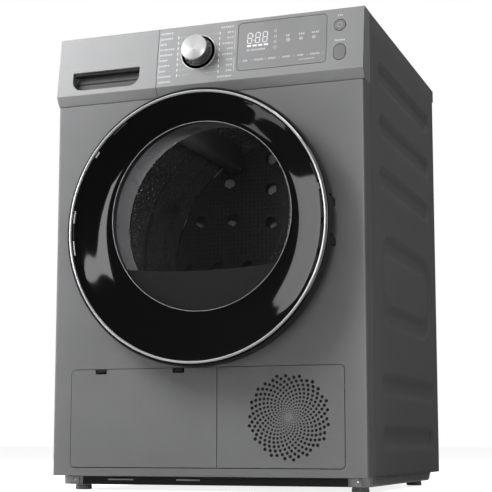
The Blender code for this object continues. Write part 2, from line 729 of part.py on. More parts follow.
# Front bulkhead: the drum's mouth, its front rim, the roller axles and the filter's sleeve
roller_reach = DRUM_RADIUS + ROLLER_RADIUS + GAP
roller_x = roller_reach * math.sin(ROLLER_ANGLE)
roller_z = DRUM_Z - roller_reach * math.cos(ROLLER_ANGLE)
front_bulkhead = box(
    "front_bulkhead", (-0.285, 0.285), (0.0668, 0.0700), (0.190, 0.740), MESH_GREY
)
mouth_hole = [(MOUTH_RADIUS + 0.0015, 0.05), (MOUTH_RADIUS + 0.0015, 0.08)]
mouth_tube = ring(
    "mouth_tube",
    [
        (MOUTH_RADIUS, 0.0040),
        (0.2065, 0.0040),
        (0.2065, 0.0070),
        (MOUTH_RADIUS + 0.003, 0.0070),
        (MOUTH_RADIUS + 0.003, 0.0712),
        (MOUTH_RADIUS, 0.0712),
    ],
    MESH_GREY,
    PORT_Z,
)
drum_rim = ring(
    "drum_rim", [(0.2525, 0.0682), (0.2555, 0.0682), (0.2555, 0.092), (0.2525, 0.092)],
    MESH_GREY, DRUM_Z,
)
join(front_bulkhead, drum_rim)
cut(front_bulkhead, disc("mouth_hole", mouth_hole, MESH_GREY, PORT_Z))
join(front_bulkhead, mouth_tube)
for side, sign in (("left", -1), ("right", 1)):
    axle = [(0.0055, 0.0687), (0.0055, 0.1080)]
    join(front_bulkhead, disc(f"axle_{side}", axle, MESH_GREY, roller_z, sign * roller_x, 16))
    roller = ring(
        f"support_roller_{side}",
        [(0.0060, 0.084), (ROLLER_RADIUS, 0.084), (ROLLER_RADIUS, 0.106), (0.0060, 0.106)],
        RUBBER,
        roller_z,
        sign * roller_x,
        24,
    )
    hang(pivot(f"roller_{side}_axis", sign * roller_x, 0.095, roller_z), roller)
sleeve = box("sleeve", (-0.0825, 0.0825), (0.0175, 0.0525), (0.2275, 0.3225), MESH_GREY)
sleeve_bore = box("sleeve_bore", (-0.079, 0.079), (0.0205, 0.0495), (0.20, 0.325), MESH_GREY)
mouth_clear_radius = MOUTH_RADIUS - 0.0002
mouth_clear_section = [(mouth_clear_radius, 0.010), (mouth_clear_radius, 0.060)]
mouth_clear = disc("mouth_clear", mouth_clear_section, MESH_GREY, PORT_Z)
join(front_bulkhead, sleeve)
cut(front_bulkhead, sleeve_bore, mouth_clear)
ring(
    "door_seal",
    [(0.1855, 0.0035), (0.1855, -0.0005), (0.1905, -0.0022), (0.2000, -0.0005), (0.2000, 0.0035)],
    RUBBER,
    PORT_Z,
)

# Lint filter: an open-topped frame whose windows carry the mesh
filter_lift = pivot("filter_lift", 0.0, 0.035, 0.236)
lint_filter = box("lint_filter", (-0.0775, 0.0775), (0.0225, 0.0475), (0.2360, 0.3085), MESH_GREY)
filter_pocket = box("filter_pocket", (-0.075, 0.075), (0.025, 0.045), (0.2385, 0.33), MESH_GREY)
cut(lint_filter, filter_pocket)
FILTER_WINDOWS, WINDOW_PITCH, WINDOW_WIDTH = 4, 0.036, 0.032
for index in range(FILTER_WINDOWS):
    left = -0.070 + index * WINDOW_PITCH
    across_window = (left, left + WINDOW_WIDTH)
    window = box(f"window_{index}", across_window, (0.01, 0.06), (0.245, 0.292), MESH_GREY)
    cut(lint_filter, window)
hang(filter_lift, lint_filter)

# Drum with its lifters and its perforated back
drum_axis = pivot("drum_axis", 0.0, DRUM_BACK, DRUM_Z)
drum_inner = DRUM_RADIUS - DRUM_WALL
drum_shell = ring(
    "drum_shell",
    [
        (0.2585, DRUM_FRONT),
        (DRUM_RADIUS, DRUM_FRONT),
        (DRUM_RADIUS, DRUM_BACK),
        (drum_inner, DRUM_BACK),
        (drum_inner, DRUM_FRONT + DRUM_WALL),
        (0.2600, DRUM_FRONT + DRUM_WALL),
        (0.2600, 0.0860),
        (0.2585, 0.0860),
    ],
    DRUM_STEEL,
    DRUM_Z,
)
drum_back_wall = disc(
    "drum_back_wall",
    [
        (drum_inner - GAP, 0.5360),
        (drum_inner - GAP, 0.5380),
        (0.0300, 0.5385),
        (0.0250, 0.5440),
        (0.0120, 0.5450),
        (0.0120, 0.5880),
    ],
    DRUM_STEEL,
    DRUM_Z,
)
for reach, count in ((0.110, 6), (0.180, 10), (0.245, 14)):
    for index in range(count):
        turn = 2 * math.pi * (index + 0.5) / count
        hole = disc(
            f"back_hole_{count}_{index}",
            [(0.014, 0.52), (0.014, 0.56)],
            DRUM_STEEL,
            DRUM_Z + reach * math.cos(turn),
            reach * math.sin(turn),
            6,
        )
        cut(drum_back_wall, hole)
hang(drum_axis, drum_shell, drum_back_wall)
LIFTER_SECTION = (
    (0.2803, -7.5), (0.2803, -3.7), (0.2803, 0.0), (0.2803, 3.7), (0.2803, 7.5),
    (0.2600, 4.0), (0.2420, 2.4), (0.2370, 0.0), (0.2420, -2.4), (0.2600, -4.0),
)
for number, start in enumerate(LIFTER_ANGLES, 1):
    outline = [
        (r * math.sin(math.radians(start + a)), DRUM_Z + r * math.cos(math.radians(start + a)))
        for r, a in LIFTER_SECTION
    ]
    hang(drum_axis, plate(f"drum_lifter_{number}", outline, (0.100, 0.500), DARK_PLASTIC))

# Drive: a motor with the belt pulley at its front end and the air fan at its rear end
ring(
    "motor",
    [
        (0.0068, 0.335),
        (0.0250, 0.328),
        (0.0500, 0.335),
        (MOTOR_RADIUS, 0.342),
        (MOTOR_RADIUS, 0.478),
        (0.0500, 0.485),
        (0.0068, 0.485),
    ],
    CAST_METAL,
    MOTOR_Z,
    MOTOR_X,
    32,
)
rotor_axis = pivot("rotor_axis", MOTOR_X, 0.400, MOTOR_Z)
motor_pulley = disc(
    "motor_pulley",
    [(PULLEY_RADIUS, 0.296), (PULLEY_RADIUS, 0.316), (0.0060, 0.316), (0.0060, 0.548)],
    ZINC,
    MOTOR_Z,
    MOTOR_X,
    16,
)
FAN_BLADES = 16
fan_outline = []
for k in range(FAN_BLADES):
    for reach, part in ((0.030, 0.0), (0.055, 0.35), (0.055, 0.65), (0.030, 0.80)):
        turn = 2 * math.pi * (k + part) / FAN_BLADES
        fan_outline.append((MOTOR_X + reach * math.cos(turn), MOTOR_Z + reach * math.sin(turn)))
blower_fan = plate("blower_fan", fan_outline, (0.512, 0.550), DARK_PLASTIC)
fan_bore = disc("fan_bore", [(0.0063, 0.50), (0.0063, 0.56)], DARK_PLASTIC, MOTOR_Z, MOTOR_X, 16)
cut(blower_fan, fan_bore)
hang(rotor_axis, motor_pulley, blower_fan)
ring(
    "blower_housing",
    [
        (0.0640, 0.505),
        (0.0640, 0.583),
        (0.0610, 0.583),
        (0.0610, 0.508),
        (0.0080, 0.508),
        (0.0080, 0.505),
    ],
    DARK_PLASTIC,
    MOTOR_Z,
    MOTOR_X,
    32,
)

BELT_THICK = 0.0025
BELT_CLEAR = 0.0010


def belt_line(extra):
    """The belt's run round the drum and the pulley: two arcs and the two straight tangents."""
    drum_r = DRUM_RADIUS + BELT_CLEAR + extra
    pulley_r = PULLEY_RADIUS + BELT_CLEAR + extra
    aim = math.atan2(MOTOR_Z - DRUM_Z, MOTOR_X)
    spread = math.acos((drum_r - pulley_r) / math.hypot(MOTOR_X, MOTOR_Z - DRUM_Z))
    line = []
    for k in range(61):
        turn = aim + spread + (2 * math.pi - 2 * spread) * k / 60
        line.append((drum_r * math.cos(turn), DRUM_Z + drum_r * math.sin(turn)))
    for k in range(9):
        turn = aim - spread + 2 * spread * k / 8
        line.append((MOTOR_X + pulley_r * math.cos(turn), MOTOR_Z + pulley_r * math.sin(turn)))
    return line


belt_loops = [
    [(x, behind(back), z) for x, z in belt_line(extra)]
    for extra, back in (
        (0.0, BELT_BACK[0]),
        (BELT_THICK, BELT_BACK[0]),
        (BELT_THICK, BELT_BACK[1]),
        (0.0, BELT_BACK[1]),
    )
]
skin("drive_belt", belt_loops, RUBBER)

# Heat pump: compressor, evaporator, condenser and the cover in front of them
post(
    "compressor",
    [(0.050, 0.0135), (0.058, 0.022), (0.058, 0.165), (0.046, 0.182), (0.020, 0.190)],
    CAST_METAL,
    0.165,
    0.200,
    32,
)


def finned_block(name, backs):
    """A block of upright fins that stand on a common base, as a comb drawn out front to back."""
    left, right, base, top, fins = -0.235, -0.025, 0.0135, 0.172, 14
    pitch = (right - left) / fins
    outline = [(left, base), (right, base)]
    for k in range(fins, 0, -1):
        edge_right = left + k * pitch
        edge_left = edge_right - pitch * 0.5
        outline += [(edge_right, top), (edge_left, top)]
        if k > 1:
            outline += [(edge_left, base + 0.01), (edge_left - pitch * 0.5, base + 0.01)]
    outline[-1] = (edge_left, top)
    outline.append((edge_left, base + 0.01))
    outline.append((left, base + 0.01))
    return plate(name, outline, backs, FIN_METAL)


finned_block("evaporator", (0.060, 0.200))
finned_block("condenser", (0.212, 0.420))
exchanger_cover = box(
    "exchanger_cover", (-0.245, -0.010), (0.0400, 0.0460), (0.030, 0.195), DARK_PLASTIC
)
edge = exchanger_cover.modifiers.new("Edge", "BEVEL")
edge.width = 0.002
edge.segments = 2

# Fan behind the grille that cools the compressor
FAN_PETALS = 7
petal_outline = []
for k in range(FAN_PETALS):
    for reach, part in ((0.020, 0.0), (0.050, 0.10), (0.070, 0.30), (0.070, 0.62), (0.045, 0.72),
                        (0.020, 0.66)):
        turn = 2 * math.pi * (k + part) / FAN_PETALS
        petal_outline.append((GRILLE_X + reach * math.sin(turn), GRILLE_Z + reach * math.cos(turn)))
cooling_fan = plate("cooling_fan", petal_outline, (0.021, 0.026), DARK_PLASTIC)
fan_hub = disc("fan_hub", [(0.018, 0.016), (0.021, 0.019), (0.021, 0.031)], DARK_PLASTIC,
               GRILLE_Z, GRILLE_X, 24)
join(cooling_fan, fan_hub)
hang(pivot("cooling_fan_axis", GRILLE_X, 0.024, GRILLE_Z), cooling_fan)
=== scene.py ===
import json
import math

import bmesh
import bpy
from mathutils import Matrix, Vector


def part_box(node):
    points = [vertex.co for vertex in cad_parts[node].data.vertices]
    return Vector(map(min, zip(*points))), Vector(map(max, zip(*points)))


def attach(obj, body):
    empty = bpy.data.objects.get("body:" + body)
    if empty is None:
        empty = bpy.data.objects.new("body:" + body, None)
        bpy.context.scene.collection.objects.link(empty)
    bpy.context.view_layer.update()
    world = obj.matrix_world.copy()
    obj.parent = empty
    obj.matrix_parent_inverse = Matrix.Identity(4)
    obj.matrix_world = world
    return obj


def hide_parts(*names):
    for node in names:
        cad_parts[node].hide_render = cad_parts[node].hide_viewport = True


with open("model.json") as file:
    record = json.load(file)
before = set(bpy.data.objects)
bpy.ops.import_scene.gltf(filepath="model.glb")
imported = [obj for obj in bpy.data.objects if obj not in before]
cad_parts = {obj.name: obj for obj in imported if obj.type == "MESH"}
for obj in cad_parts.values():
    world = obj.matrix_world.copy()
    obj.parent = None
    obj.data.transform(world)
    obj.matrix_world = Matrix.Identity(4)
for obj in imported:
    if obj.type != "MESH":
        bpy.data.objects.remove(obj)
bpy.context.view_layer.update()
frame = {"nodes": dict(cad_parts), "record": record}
bpy.context.scene.view_settings.view_transform = "Standard"


# The room: a pale floor, a low viewpoint before the dryer's right corner and soft lights round it. Two
# strips are seen only in reflections, on the door's black ring. A small light in the drum shows its
# wall, and the floor is lifted to near white for the camera alone.
def lamp(name, place, target, wide, high, power):
    data = bpy.data.lights.new(name, "AREA")
    data.shape = "RECTANGLE"
    data.size, data.size_y, data.energy = wide, high, power
    made = bpy.data.objects.new(name, data)
    made.location = place
    made.rotation_euler = (Vector(target) - Vector(place)).to_track_quat("-Z", "Y").to_euler()
    bpy.context.scene.collection.objects.link(made)
    return made


view_data = bpy.data.cameras.new("viewpoint")
view_data.lens = 93.8
view_data.shift_y = 0.061
view_data.clip_end = 200
viewpoint = bpy.data.objects.new("viewpoint", view_data)
viewpoint.location = (0.839, -2.391, 0.083)
viewpoint.rotation_euler = (math.pi / 2 + 0.1304, 0, 0.3453)
bpy.context.scene.collection.objects.link(viewpoint)
bpy.context.scene.camera = viewpoint

lamp("left_tall", (-3.3, -1.7, 1.45), (0, -0.1, 0.5), 1.4, 2.1, 34)
lamp("right_fill", (1.15, -3.7, 1.05), (0, 0, 0.45), 1.2, 1.0, 4).visible_glossy = False
lamp("right_strip", (0.72, -3.7, 1.05), (0, 0, 0.45), 0.85, 2.1, 34).visible_diffuse = False
lamp("low_strip", (-3.0, -2.1, -1.0), (0, -0.3, 0.5), 0.8, 0.9, 5).visible_diffuse = False
lamp("right_high", (1.25, 0.0, 3.0), (0.3, 0, 0.4), 1.0, 1.0, 24)
lamp("soft_front", (-1.15, -1.35, 1.75), (-0.05, -0.3, 0.5), 1.0, 1.0, 62).visible_glossy = False
lamp("behind", (-1.2, 3.4, 2.2), (0, 0.3, 0.4), 1.5, 1.5, 60).visible_glossy = False
lamp("in_drum", (0.02, -0.14, 0.63), (-0.25, 0.05, 0.44), 0.03, 0.03, 0.9)

surround = bpy.data.worlds.new("surround")
bpy.context.scene.world = surround
surround.use_nodes = True
sky = surround.node_tree
sky.nodes.clear()
sky_out = sky.nodes.new("ShaderNodeOutputWorld")
sky_mix = sky.nodes.new("ShaderNodeMixShader")
sky_gloss = sky.nodes.new("ShaderNodeMapRange")
sky_gloss.inputs["To Min"].default_value = 0.13
sky_gloss.inputs["To Max"].default_value = 0.08
sky_light = sky.nodes.new("ShaderNodeBackground")
sky_seen = sky.nodes.new("ShaderNodeBackground")
sky_path = sky.nodes.new("ShaderNodeLightPath")
sky_light.inputs["Color"].default_value = (1, 1, 1, 1)
sky_seen.inputs["Color"].default_value = (1, 1, 1, 1)
sky_seen.inputs["Strength"].default_value = 1.0
sky.links.new(sky_path.outputs["Is Glossy Ray"], sky_gloss.inputs["Value"])
sky.links.new(sky_gloss.outputs["Result"], sky_light.inputs["Strength"])
sky.links.new(sky_path.outputs["Is Camera Ray"], sky_mix.inputs["Fac"])
sky.links.new(sky_light.outputs[0], sky_mix.inputs[1])
sky.links.new(sky_seen.outputs[0], sky_mix.inputs[2])
sky.links.new(sky_mix.outputs[0], sky_out.inputs["Surface"])


def piece(name, points, faces, looks, smooth=True):
    mesh = bpy.data.meshes.new(name)
    mesh.from_pydata([tuple(p) for p in points], [], faces)
    mesh.update()
    for look in looks if isinstance(looks, (list, tuple)) else [looks]:
        mesh.materials.append(look)
    if smooth:
        mesh.shade_smooth()
    made = bpy.data.objects.new(name, mesh)
    bpy.context.scene.collection.objects.link(made)
    return made


def finish(name, colour, roughness=0.5, metallic=0.0, coat=0.0, transmission=0.0, ior=1.45):
    look = bpy.data.materials.new(name)
    look.use_nodes = True
    shader = look.node_tree.nodes["Principled BSDF"]
    shader.inputs["Base Color"].default_value = (*colour, 1)
    shader.inputs["Roughness"].default_value = roughness
    shader.inputs["Metallic"].default_value = metallic
    shader.inputs["Coat Weight"].default_value = coat
    shader.inputs["Transmission Weight"].default_value = transmission
    shader.inputs["IOR"].default_value = ior
    return look


def add(tree, kind, **values):
    made = tree.nodes.new(kind)
    for key, value in values.items():
        setattr(made, key, value)
    return made


floor_look = finish("floor_paint", (0.80, 0.80, 0.80), 0.6)
floor_noise = add(floor_look.node_tree, "ShaderNodeTexNoise")
floor_noise.inputs["Scale"].default_value = 3.0
floor_ramp = add(floor_look.node_tree, "ShaderNodeMapRange")
floor_ramp.inputs["To Min"].default_value = 0.5
floor_ramp.inputs["To Max"].default_value = 0.7
floor_look.node_tree.links.new(floor_noise.outputs["Fac"], floor_ramp.inputs["Value"])
floor_look.node_tree.links.new(
    floor_ramp.outputs["Result"], floor_look.node_tree.nodes["Principled BSDF"].inputs["Roughness"]
)
floor_shader = floor_look.node_tree.nodes["Principled BSDF"]
floor_path = add(floor_look.node_tree, "ShaderNodeLightPath")
floor_lift = add(floor_look.node_tree, "ShaderNodeMath", operation="MULTIPLY")
floor_lift.inputs[1].default_value = 0.85
floor_shader.inputs["Emission Color"].default_value = (1, 1, 1, 1)
floor_look.node_tree.links.new(floor_path.outputs["Is Camera Ray"], floor_lift.inputs[0])
floor_look.node_tree.links.new(floor_lift.outputs[0], floor_shader.inputs["Emission Strength"])
floor = piece("floor", [(-30, -30, 0), (30, -30, 0), (30, 30, 0), (-30, 30, 0)], [(0, 1, 2, 3)],
              floor_look, False)
floor.visible_glossy = False


# Finishes: satin grey paint on sheet metal, silver console plastic, gloss black and chrome on the door,
# moulded plastics, zinc, steel and rubber. All share one grain, a fine speckle and unevenness. The
# solids that stay visible take theirs here.
def socket(tree, name, kind, way="INPUT", default=None):
    made = tree.interface.new_socket(name=name, in_out=way, socket_type=kind)
    if default is not None:
        made.default_value = default
    return made


grain = bpy.data.node_groups.new("grain", "ShaderNodeTree")
socket(grain, "Colour", "NodeSocketColor", default=(0.5, 0.5, 0.5, 1))
socket(grain, "Variation", "NodeSocketFloat", default=0.1)
socket(grain, "Size", "NodeSocketFloat", default=0.001)
socket(grain, "Roughness", "NodeSocketFloat", default=0.5)
socket(grain, "Spread", "NodeSocketFloat", default=0.05)
socket(grain, "Height", "NodeSocketFloat", default=0.1)
socket(grain, "Colour", "NodeSocketColor", "OUTPUT")
socket(grain, "Roughness", "NodeSocketFloat", "OUTPUT")
socket(grain, "Normal", "NodeSocketVector", "OUTPUT")
inward = add(grain, "NodeGroupInput")
outward = add(grain, "NodeGroupOutput")
place = add(grain, "ShaderNodeTexCoord")
finer = add(grain, "ShaderNodeMath", operation="DIVIDE")
finer.inputs[0].default_value = 1.0
speckle = add(grain, "ShaderNodeTexNoise")
speckle.inputs["Detail"].default_value = 2.0
cloud = add(grain, "ShaderNodeTexNoise")
cloud.inputs["Scale"].default_value = 9.0
blend = add(grain, "ShaderNodeMath", operation="ADD")
centred = add(grain, "ShaderNodeMath", operation="SUBTRACT")
centred.inputs[1].default_value = 1.0
amount = add(grain, "ShaderNodeMath", operation="MULTIPLY_ADD")
amount.inputs[2].default_value = 1.0
tinted = add(grain, "ShaderNodeVectorMath", operation="SCALE")
rougher = add(grain, "ShaderNodeMath", operation="MULTIPLY_ADD")
relief = add(grain, "ShaderNodeBump")
relief.inputs["Distance"].default_value = 0.0003
for start, end in (
    (inward.outputs["Size"], finer.inputs[1]),
    (finer.outputs[0], speckle.inputs["Scale"]),
    (place.outputs["Object"], speckle.inputs["Vector"]),
    (place.outputs["Object"], cloud.inputs["Vector"]),
    (speckle.outputs["Fac"], blend.inputs[0]),
    (cloud.outputs["Fac"], blend.inputs[1]),
    (blend.outputs[0], centred.inputs[0]),
    (centred.outputs[0], amount.inputs[0]),
    (inward.outputs["Variation"], amount.inputs[1]),
    (inward.outputs["Colour"], tinted.inputs[0]),
    (amount.outputs[0], tinted.inputs["Scale"]),
    (tinted.outputs[0], outward.inputs["Colour"]),
    (centred.outputs[0], rougher.inputs[0]),
    (inward.outputs["Spread"], rougher.inputs[1]),
    (inward.outputs["Roughness"], rougher.inputs[2]),
    (rougher.outputs[0], outward.inputs["Roughness"]),
    (speckle.outputs["Fac"], relief.inputs["Height"]),
    (inward.outputs["Height"], relief.inputs["Strength"]),
    (relief.outputs[0], outward.inputs["Normal"]),
):
    grain.links.new(start, end)


def grained(name, colour, size, variation, height, roughness, spread=0.06, **more):
    look = finish(name, colour, roughness, **more)
    tree = look.node_tree
    effect = add(tree, "ShaderNodeGroup", node_tree=grain)
    effect.inputs["Colour"].default_value = (*colour, 1)
    effect.inputs["Variation"].default_value = variation
    effect.inputs["Size"].default_value = size
    effect.inputs["Roughness"].default_value = roughness
    effect.inputs["Spread"].default_value = spread
    effect.inputs["Height"].default_value = height
    shader = tree.nodes["Principled BSDF"]
    tree.links.new(effect.outputs["Colour"], shader.inputs["Base Color"])
    tree.links.new(effect.outputs["Roughness"], shader.inputs["Roughness"])
    tree.links.new(effect.outputs["Normal"], shader.inputs["Normal"])
    return look


grey_paint = grained("grey_paint", (0.205, 0.206, 0.209), 0.0009, 0.24, 0.06, 0.42, metallic=0.35)
# The sides take a slightly darker copy of the front's grey: painted shade, so the sides read darker than
# the front.
side_paint = grained("side_paint", (0.185, 0.186, 0.189), 0.0012, 0.2, 0.05, 0.42, metallic=0.35)
console_plastic = grained("console_plastic", (0.34, 0.342, 0.346), 0.0007, 0.18, 0.03, 0.38,
                          metallic=0.35)
dark_plastic = grained("dark_plastic", (0.018, 0.018, 0.019), 0.0012, 0.3, 0.25, 0.5)
gloss_black = grained("gloss_black", (0.0022, 0.0022, 0.0024), 0.004, 0.2, 0.0, 0.06, 0.02)
chrome = grained("chrome", (0.84, 0.84, 0.85), 0.002, 0.05, 0.01, 0.12, 0.03, metallic=0.6)
zinc = grained("zinc_sheet", (0.50, 0.51, 0.53), 0.012, 0.2, 0.04, 0.38, 0.2, metallic=0.6)
pale_plastic = grained("pale_plastic", (0.42, 0.42, 0.42), 0.0015, 0.1, 0.2, 0.55)
white_plastic = grained("white_plastic", (0.74, 0.74, 0.72), 0.0015, 0.06, 0.12, 0.42)
rubber = grained("rubber", (0.022, 0.022, 0.023), 0.0016, 0.3, 0.3, 0.75)
cast_metal = grained("cast_metal", (0.05, 0.05, 0.054), 0.002, 0.3, 0.6, 0.5, metallic=0.6)
fin_metal = grained("fin_metal", (0.66, 0.67, 0.68), 0.003, 0.15, 0.1, 0.35, 0.1, metallic=1.0)
board_lacquer = grained("board_lacquer", (0.02, 0.12, 0.05), 0.003, 0.3, 0.2, 0.3, coat=0.4)
filter_plastic = grained("filter_plastic", (0.24, 0.24, 0.25), 0.0012, 0.15, 0.2, 0.55)
drum_steel = grained("drum_steel", (0.58, 0.58, 0.59), 0.004, 0.12, 0.03, 0.27, 0.08, metallic=1.0)

for look, names in (
    (grey_paint, "front_panel top_cover service_flap grille_panel"),
    (side_paint, "side_panel_left side_panel_right"),
    (console_plastic, "control_fascia tank_drawer_front display_window power_button start_button"),
    (dark_plastic, "cord_gland flap_catch_left flap_catch_right tank_guide door_frame door_baffle "
                   "door_keeper drum_lifter_1 drum_lifter_2 drum_lifter_3 blower_fan "
                   "blower_housing exchanger_cover cooling_fan"),
    (gloss_black, "door_bezel"),
    (chrome, "door_trim_ring knob_bezel programme_knob"),
    (zinc, "corner_bracket_left corner_bracket_right rear_panel rear_duct_cover flap_hinge_pin "
           "knob_shaft door_hinge_pin door_hook motor_pulley"),
    (board_lacquer, "control_board"),
    (white_plastic, "water_tank"),
    (pale_plastic, "base_tray foot_front_left foot_front_right foot_rear_left foot_rear_right"),
    (filter_plastic, "front_bulkhead lint_filter"),
    (rubber, "support_roller_left support_roller_right door_seal drive_belt"),
    (drum_steel, "drum_shell drum_back_wall"),
    # The hinge plate takes this dark finish so that the slots it shows through stay dark: painted shade.
    (cast_metal, "motor compressor hinge_plate"),
    (fin_metal, "evaporator condenser"),
):
    for name in names.split():
        node = frame["nodes"][name]
        for held in node.material_slots:
            held.material = look


# Base moulding: a ribbed pale tray that carries the compressor and motor. Only its edge shows under
# the cabinet, where short slanted ribs stiffen the side and the sloped rear end.
def carried(name):
    """The body that a CAD node moves with."""
    return next(b for b, nodes in frame["record"]["behaviour"]["bodies"].items() if name in nodes)


def closed(made, merge=0.00001):
    """Merges doubles and turns every face outwards."""
    work = bmesh.new()
    work.from_mesh(made.data)
    bmesh.ops.remove_doubles(work, verts=work.verts, dist=merge)
    bmesh.ops.recalc_face_normals(work, faces=work.faces)
    work.to_mesh(made.data)
    work.free()
    return made


def applied(made):
    """Turns a piece with its modifiers into a plain mesh."""
    graph = bpy.context.evaluated_depsgraph_get()
    mesh = bpy.data.meshes.new_from_object(made.evaluated_get(graph))
    made.modifiers.clear()
    made.data = mesh
    return made


def extruded(name, outline, start, end, looks, axis="y", smooth=False):
    """A flat outline given as pairs, pushed from start to end along an axis."""
    def at(pair, depth):
        a, b = pair
        return {"x": (depth, a, b), "y": (a, depth, b), "z": (a, b, depth)}[axis]

    count = len(outline)
    points = [at(p, start) for p in outline] + [at(p, end) for p in outline]
    faces = [tuple(range(count))[::-1], tuple(range(count, 2 * count))]
    faces += [(k, (k + 1) % count, count + (k + 1) % count, count + k) for k in range(count)]
    return closed(piece(name, points, faces, looks, smooth))


def block(name, low, high, looks):
    outline = [(low[0], low[2]), (high[0], low[2]), (high[0], high[2]), (low[0], high[2])]
    return extruded(name, outline, low[1], high[1], looks)


def rounded_outline(left, low, right, high, radius, steps=8):
    corners = ((right - radius, high - radius, 0), (left + radius, high - radius, 1),
               (left + radius, low + radius, 2), (right - radius, low + radius, 3))
    return [
        (x + radius * math.cos(math.pi / 2 * (quarter + k / steps)),
         z + radius * math.sin(math.pi / 2 * (quarter + k / steps)))
        for x, z, quarter in corners
        for k in range(steps + 1)
    ]


def revolved(name, profile, centre, looks, steps=128, axis="y"):
    """A closed profile of (radius, place along the axis) pairs turned about an axis."""
    count = len(profile)
    points = []
    for k in range(steps):
        turn = 2 * math.pi * k / steps
        for radius, along in profile:
            a, b = centre[0] + radius * math.cos(turn), centre[1] + radius * math.sin(turn)
            points.append((a, along, b) if axis == "y" else (a, b, along))
    faces = [
        (count * k + j, count * k + (j + 1) % count,
         count * ((k + 1) % steps) + (j + 1) % count, count * ((k + 1) % steps) + j)
        for k in range(steps)
        for j in range(count)
    ]
    made = closed(piece(name, points, faces, looks))
    made.data.set_sharp_from_angle(angle=math.radians(30))
    return made


def softened(made, width, segments=2, limit=30):
    """Rounds a piece's edges."""
    edge = made.modifiers.new("Edge", "BEVEL")
    edge.width, edge.segments, edge.limit_method = width, segments, "ANGLE"
    edge.angle_limit = math.radians(limit)
    edge.harden_normals = True
    made.data.shade_smooth()
    return applied(made)


def carve(made, *tools, operation="DIFFERENCE"):
    """Cuts tools out of a piece, or joins them to it, and removes the tools."""
    for tool in tools:
        step = made.modifiers.new("Carve", "BOOLEAN")
        step.operation, step.solver, step.object = operation, "EXACT", tool
    applied(made)
    for tool in tools:
        bpy.data.objects.remove(tool)
    return made


def gathered(name, pieces_of_it):
    """Several meshes made one piece, each part keeping its own material."""
    with bpy.context.temp_override(active_object=pieces_of_it[0],
                                   selected_editable_objects=pieces_of_it):
        bpy.ops.object.join()
    pieces_of_it[0].name = name
    return pieces_of_it[0]


def grown(name, tree, source=None, **inputs):
    """Runs a node tree on a mesh, sets its named inputs, and keeps the plain mesh that results."""
    holder = source or piece(name, [(0, 0, 0)], [], [])
    holder.name = name
    step = holder.modifiers.new("Pattern", "NODES")
    step.node_group = tree
    named = {item.name: item.identifier for item in tree.interface.items_tree
             if item.item_type == "SOCKET" and item.in_out == "INPUT"}
    for key, value in inputs.items():
        step[named[key.replace("_", " ")]] = value
    graph = bpy.context.evaluated_depsgraph_get()
    mesh = bpy.data.meshes.new_from_object(holder.evaluated_get(graph))
    holder.modifiers.clear()
    holder.data = mesh
    return holder


def row_tree(name, look):
    """A tree that repeats one small mesh along a straight line, at a pitch."""
    tree = bpy.data.node_groups.new(name, "GeometryNodeTree")
    socket(tree, "Item", "NodeSocketObject")
    socket(tree, "Count", "NodeSocketInt", default=10)
    socket(tree, "Start", "NodeSocketVector")
    socket(tree, "Pitch", "NodeSocketVector")
    socket(tree, "Geometry", "NodeSocketGeometry", "OUTPUT")
    given, result = add(tree, "NodeGroupInput"), add(tree, "NodeGroupOutput")
    line = add(tree, "GeometryNodeMeshLine", mode="OFFSET")
    item = add(tree, "GeometryNodeObjectInfo")
    copies = add(tree, "GeometryNodeInstanceOnPoints")
    real = add(tree, "GeometryNodeRealizeInstances")
    painted = add(tree, "GeometryNodeSetMaterial")
    painted.inputs["Material"].default_value = look
    for start, end in (
        (given.outputs["Count"], line.inputs["Count"]),
        (given.outputs["Start"], line.inputs["Start Location"]),
        (given.outputs["Pitch"], line.inputs["Offset"]),
        (given.outputs["Item"], item.inputs["Object"]),
        (line.outputs[0], copies.inputs["Points"]),
        (item.outputs["Geometry"], copies.inputs["Instance"]),
        (copies.outputs[0], real.inputs[0]),
        (real.outputs[0], painted.inputs["Geometry"]),
        (painted.outputs[0], result.inputs["Geometry"]),
    ):
        tree.links.new(start, end)
    return tree


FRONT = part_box("front_panel")[0][1]
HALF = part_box("side_panel_right")[1][0]
tray_low, tray_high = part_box("base_tray")
rib = extruded("rib", [(0, 0.0125), (0.0030, 0.0125), (0.0105, 0.0255), (0.0075, 0.0255)], 0,
               0.0028, pale_plastic, "x")
for side, start_x in (("left", tray_low[0] - 0.0028), ("right", tray_high[0])):
    tray_ribs = grown(f"tray_ribs_{side}", row_tree(f"tray_rib_row_{side}", pale_plastic), Item=rib,
                      Count=30, Start=(start_x, tray_low[1] + 0.020, 0), Pitch=(0, 0.0158, 0))
    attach(tray_ribs, "cabinet")
bpy.data.objects.remove(rib)
toe_strip = softened(block("toe_strip", (-0.252, FRONT + 0.0315, 0.0105),
                           (0.252, FRONT + 0.0335, 0.0245), dark_plastic), 0.0006)
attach(toe_strip, "cabinet")
toe_slits = gathered("toe_slits", [
    block("slit_a", (-0.200, FRONT + 0.0308, 0.0180), (-0.150, FRONT + 0.0316, 0.0205), pale_plastic),
    block("slit_b", (-0.065, FRONT + 0.0308, 0.0180), (-0.020, FRONT + 0.0316, 0.0205), pale_plastic),
])
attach(toe_slits, "cabinet")


# Levelling feet: pale moulded pads with a grip ring and a threaded stem that screws into the base
for end in ("front", "rear"):
    for side in ("left", "right"):
        node = f"foot_{end}_{side}"
        low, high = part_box(node)
        middle = ((low[0] + high[0]) / 2, (low[1] + high[1]) / 2)
        pad = [(0.0, 0.0), (0.0135, 0.0), (0.0150, 0.0012), (0.0155, 0.0030), (0.0152, 0.0060),
               (0.0146, 0.0068), (0.0146, 0.0088), (0.0151, 0.0095), (0.0149, 0.0170),
               (0.0138, 0.0190), (0.0052, 0.0190)]
        stem = [(0.0052 - 0.0005 * (k % 2), 0.0190 + 0.00075 * (k + 1)) for k in range(21)]
        foot = revolved(f"{node}_turned", pad + stem + [(0.0, high[2])], middle, pale_plastic, 48, "z")
        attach(foot, carried(node))
        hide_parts(node)


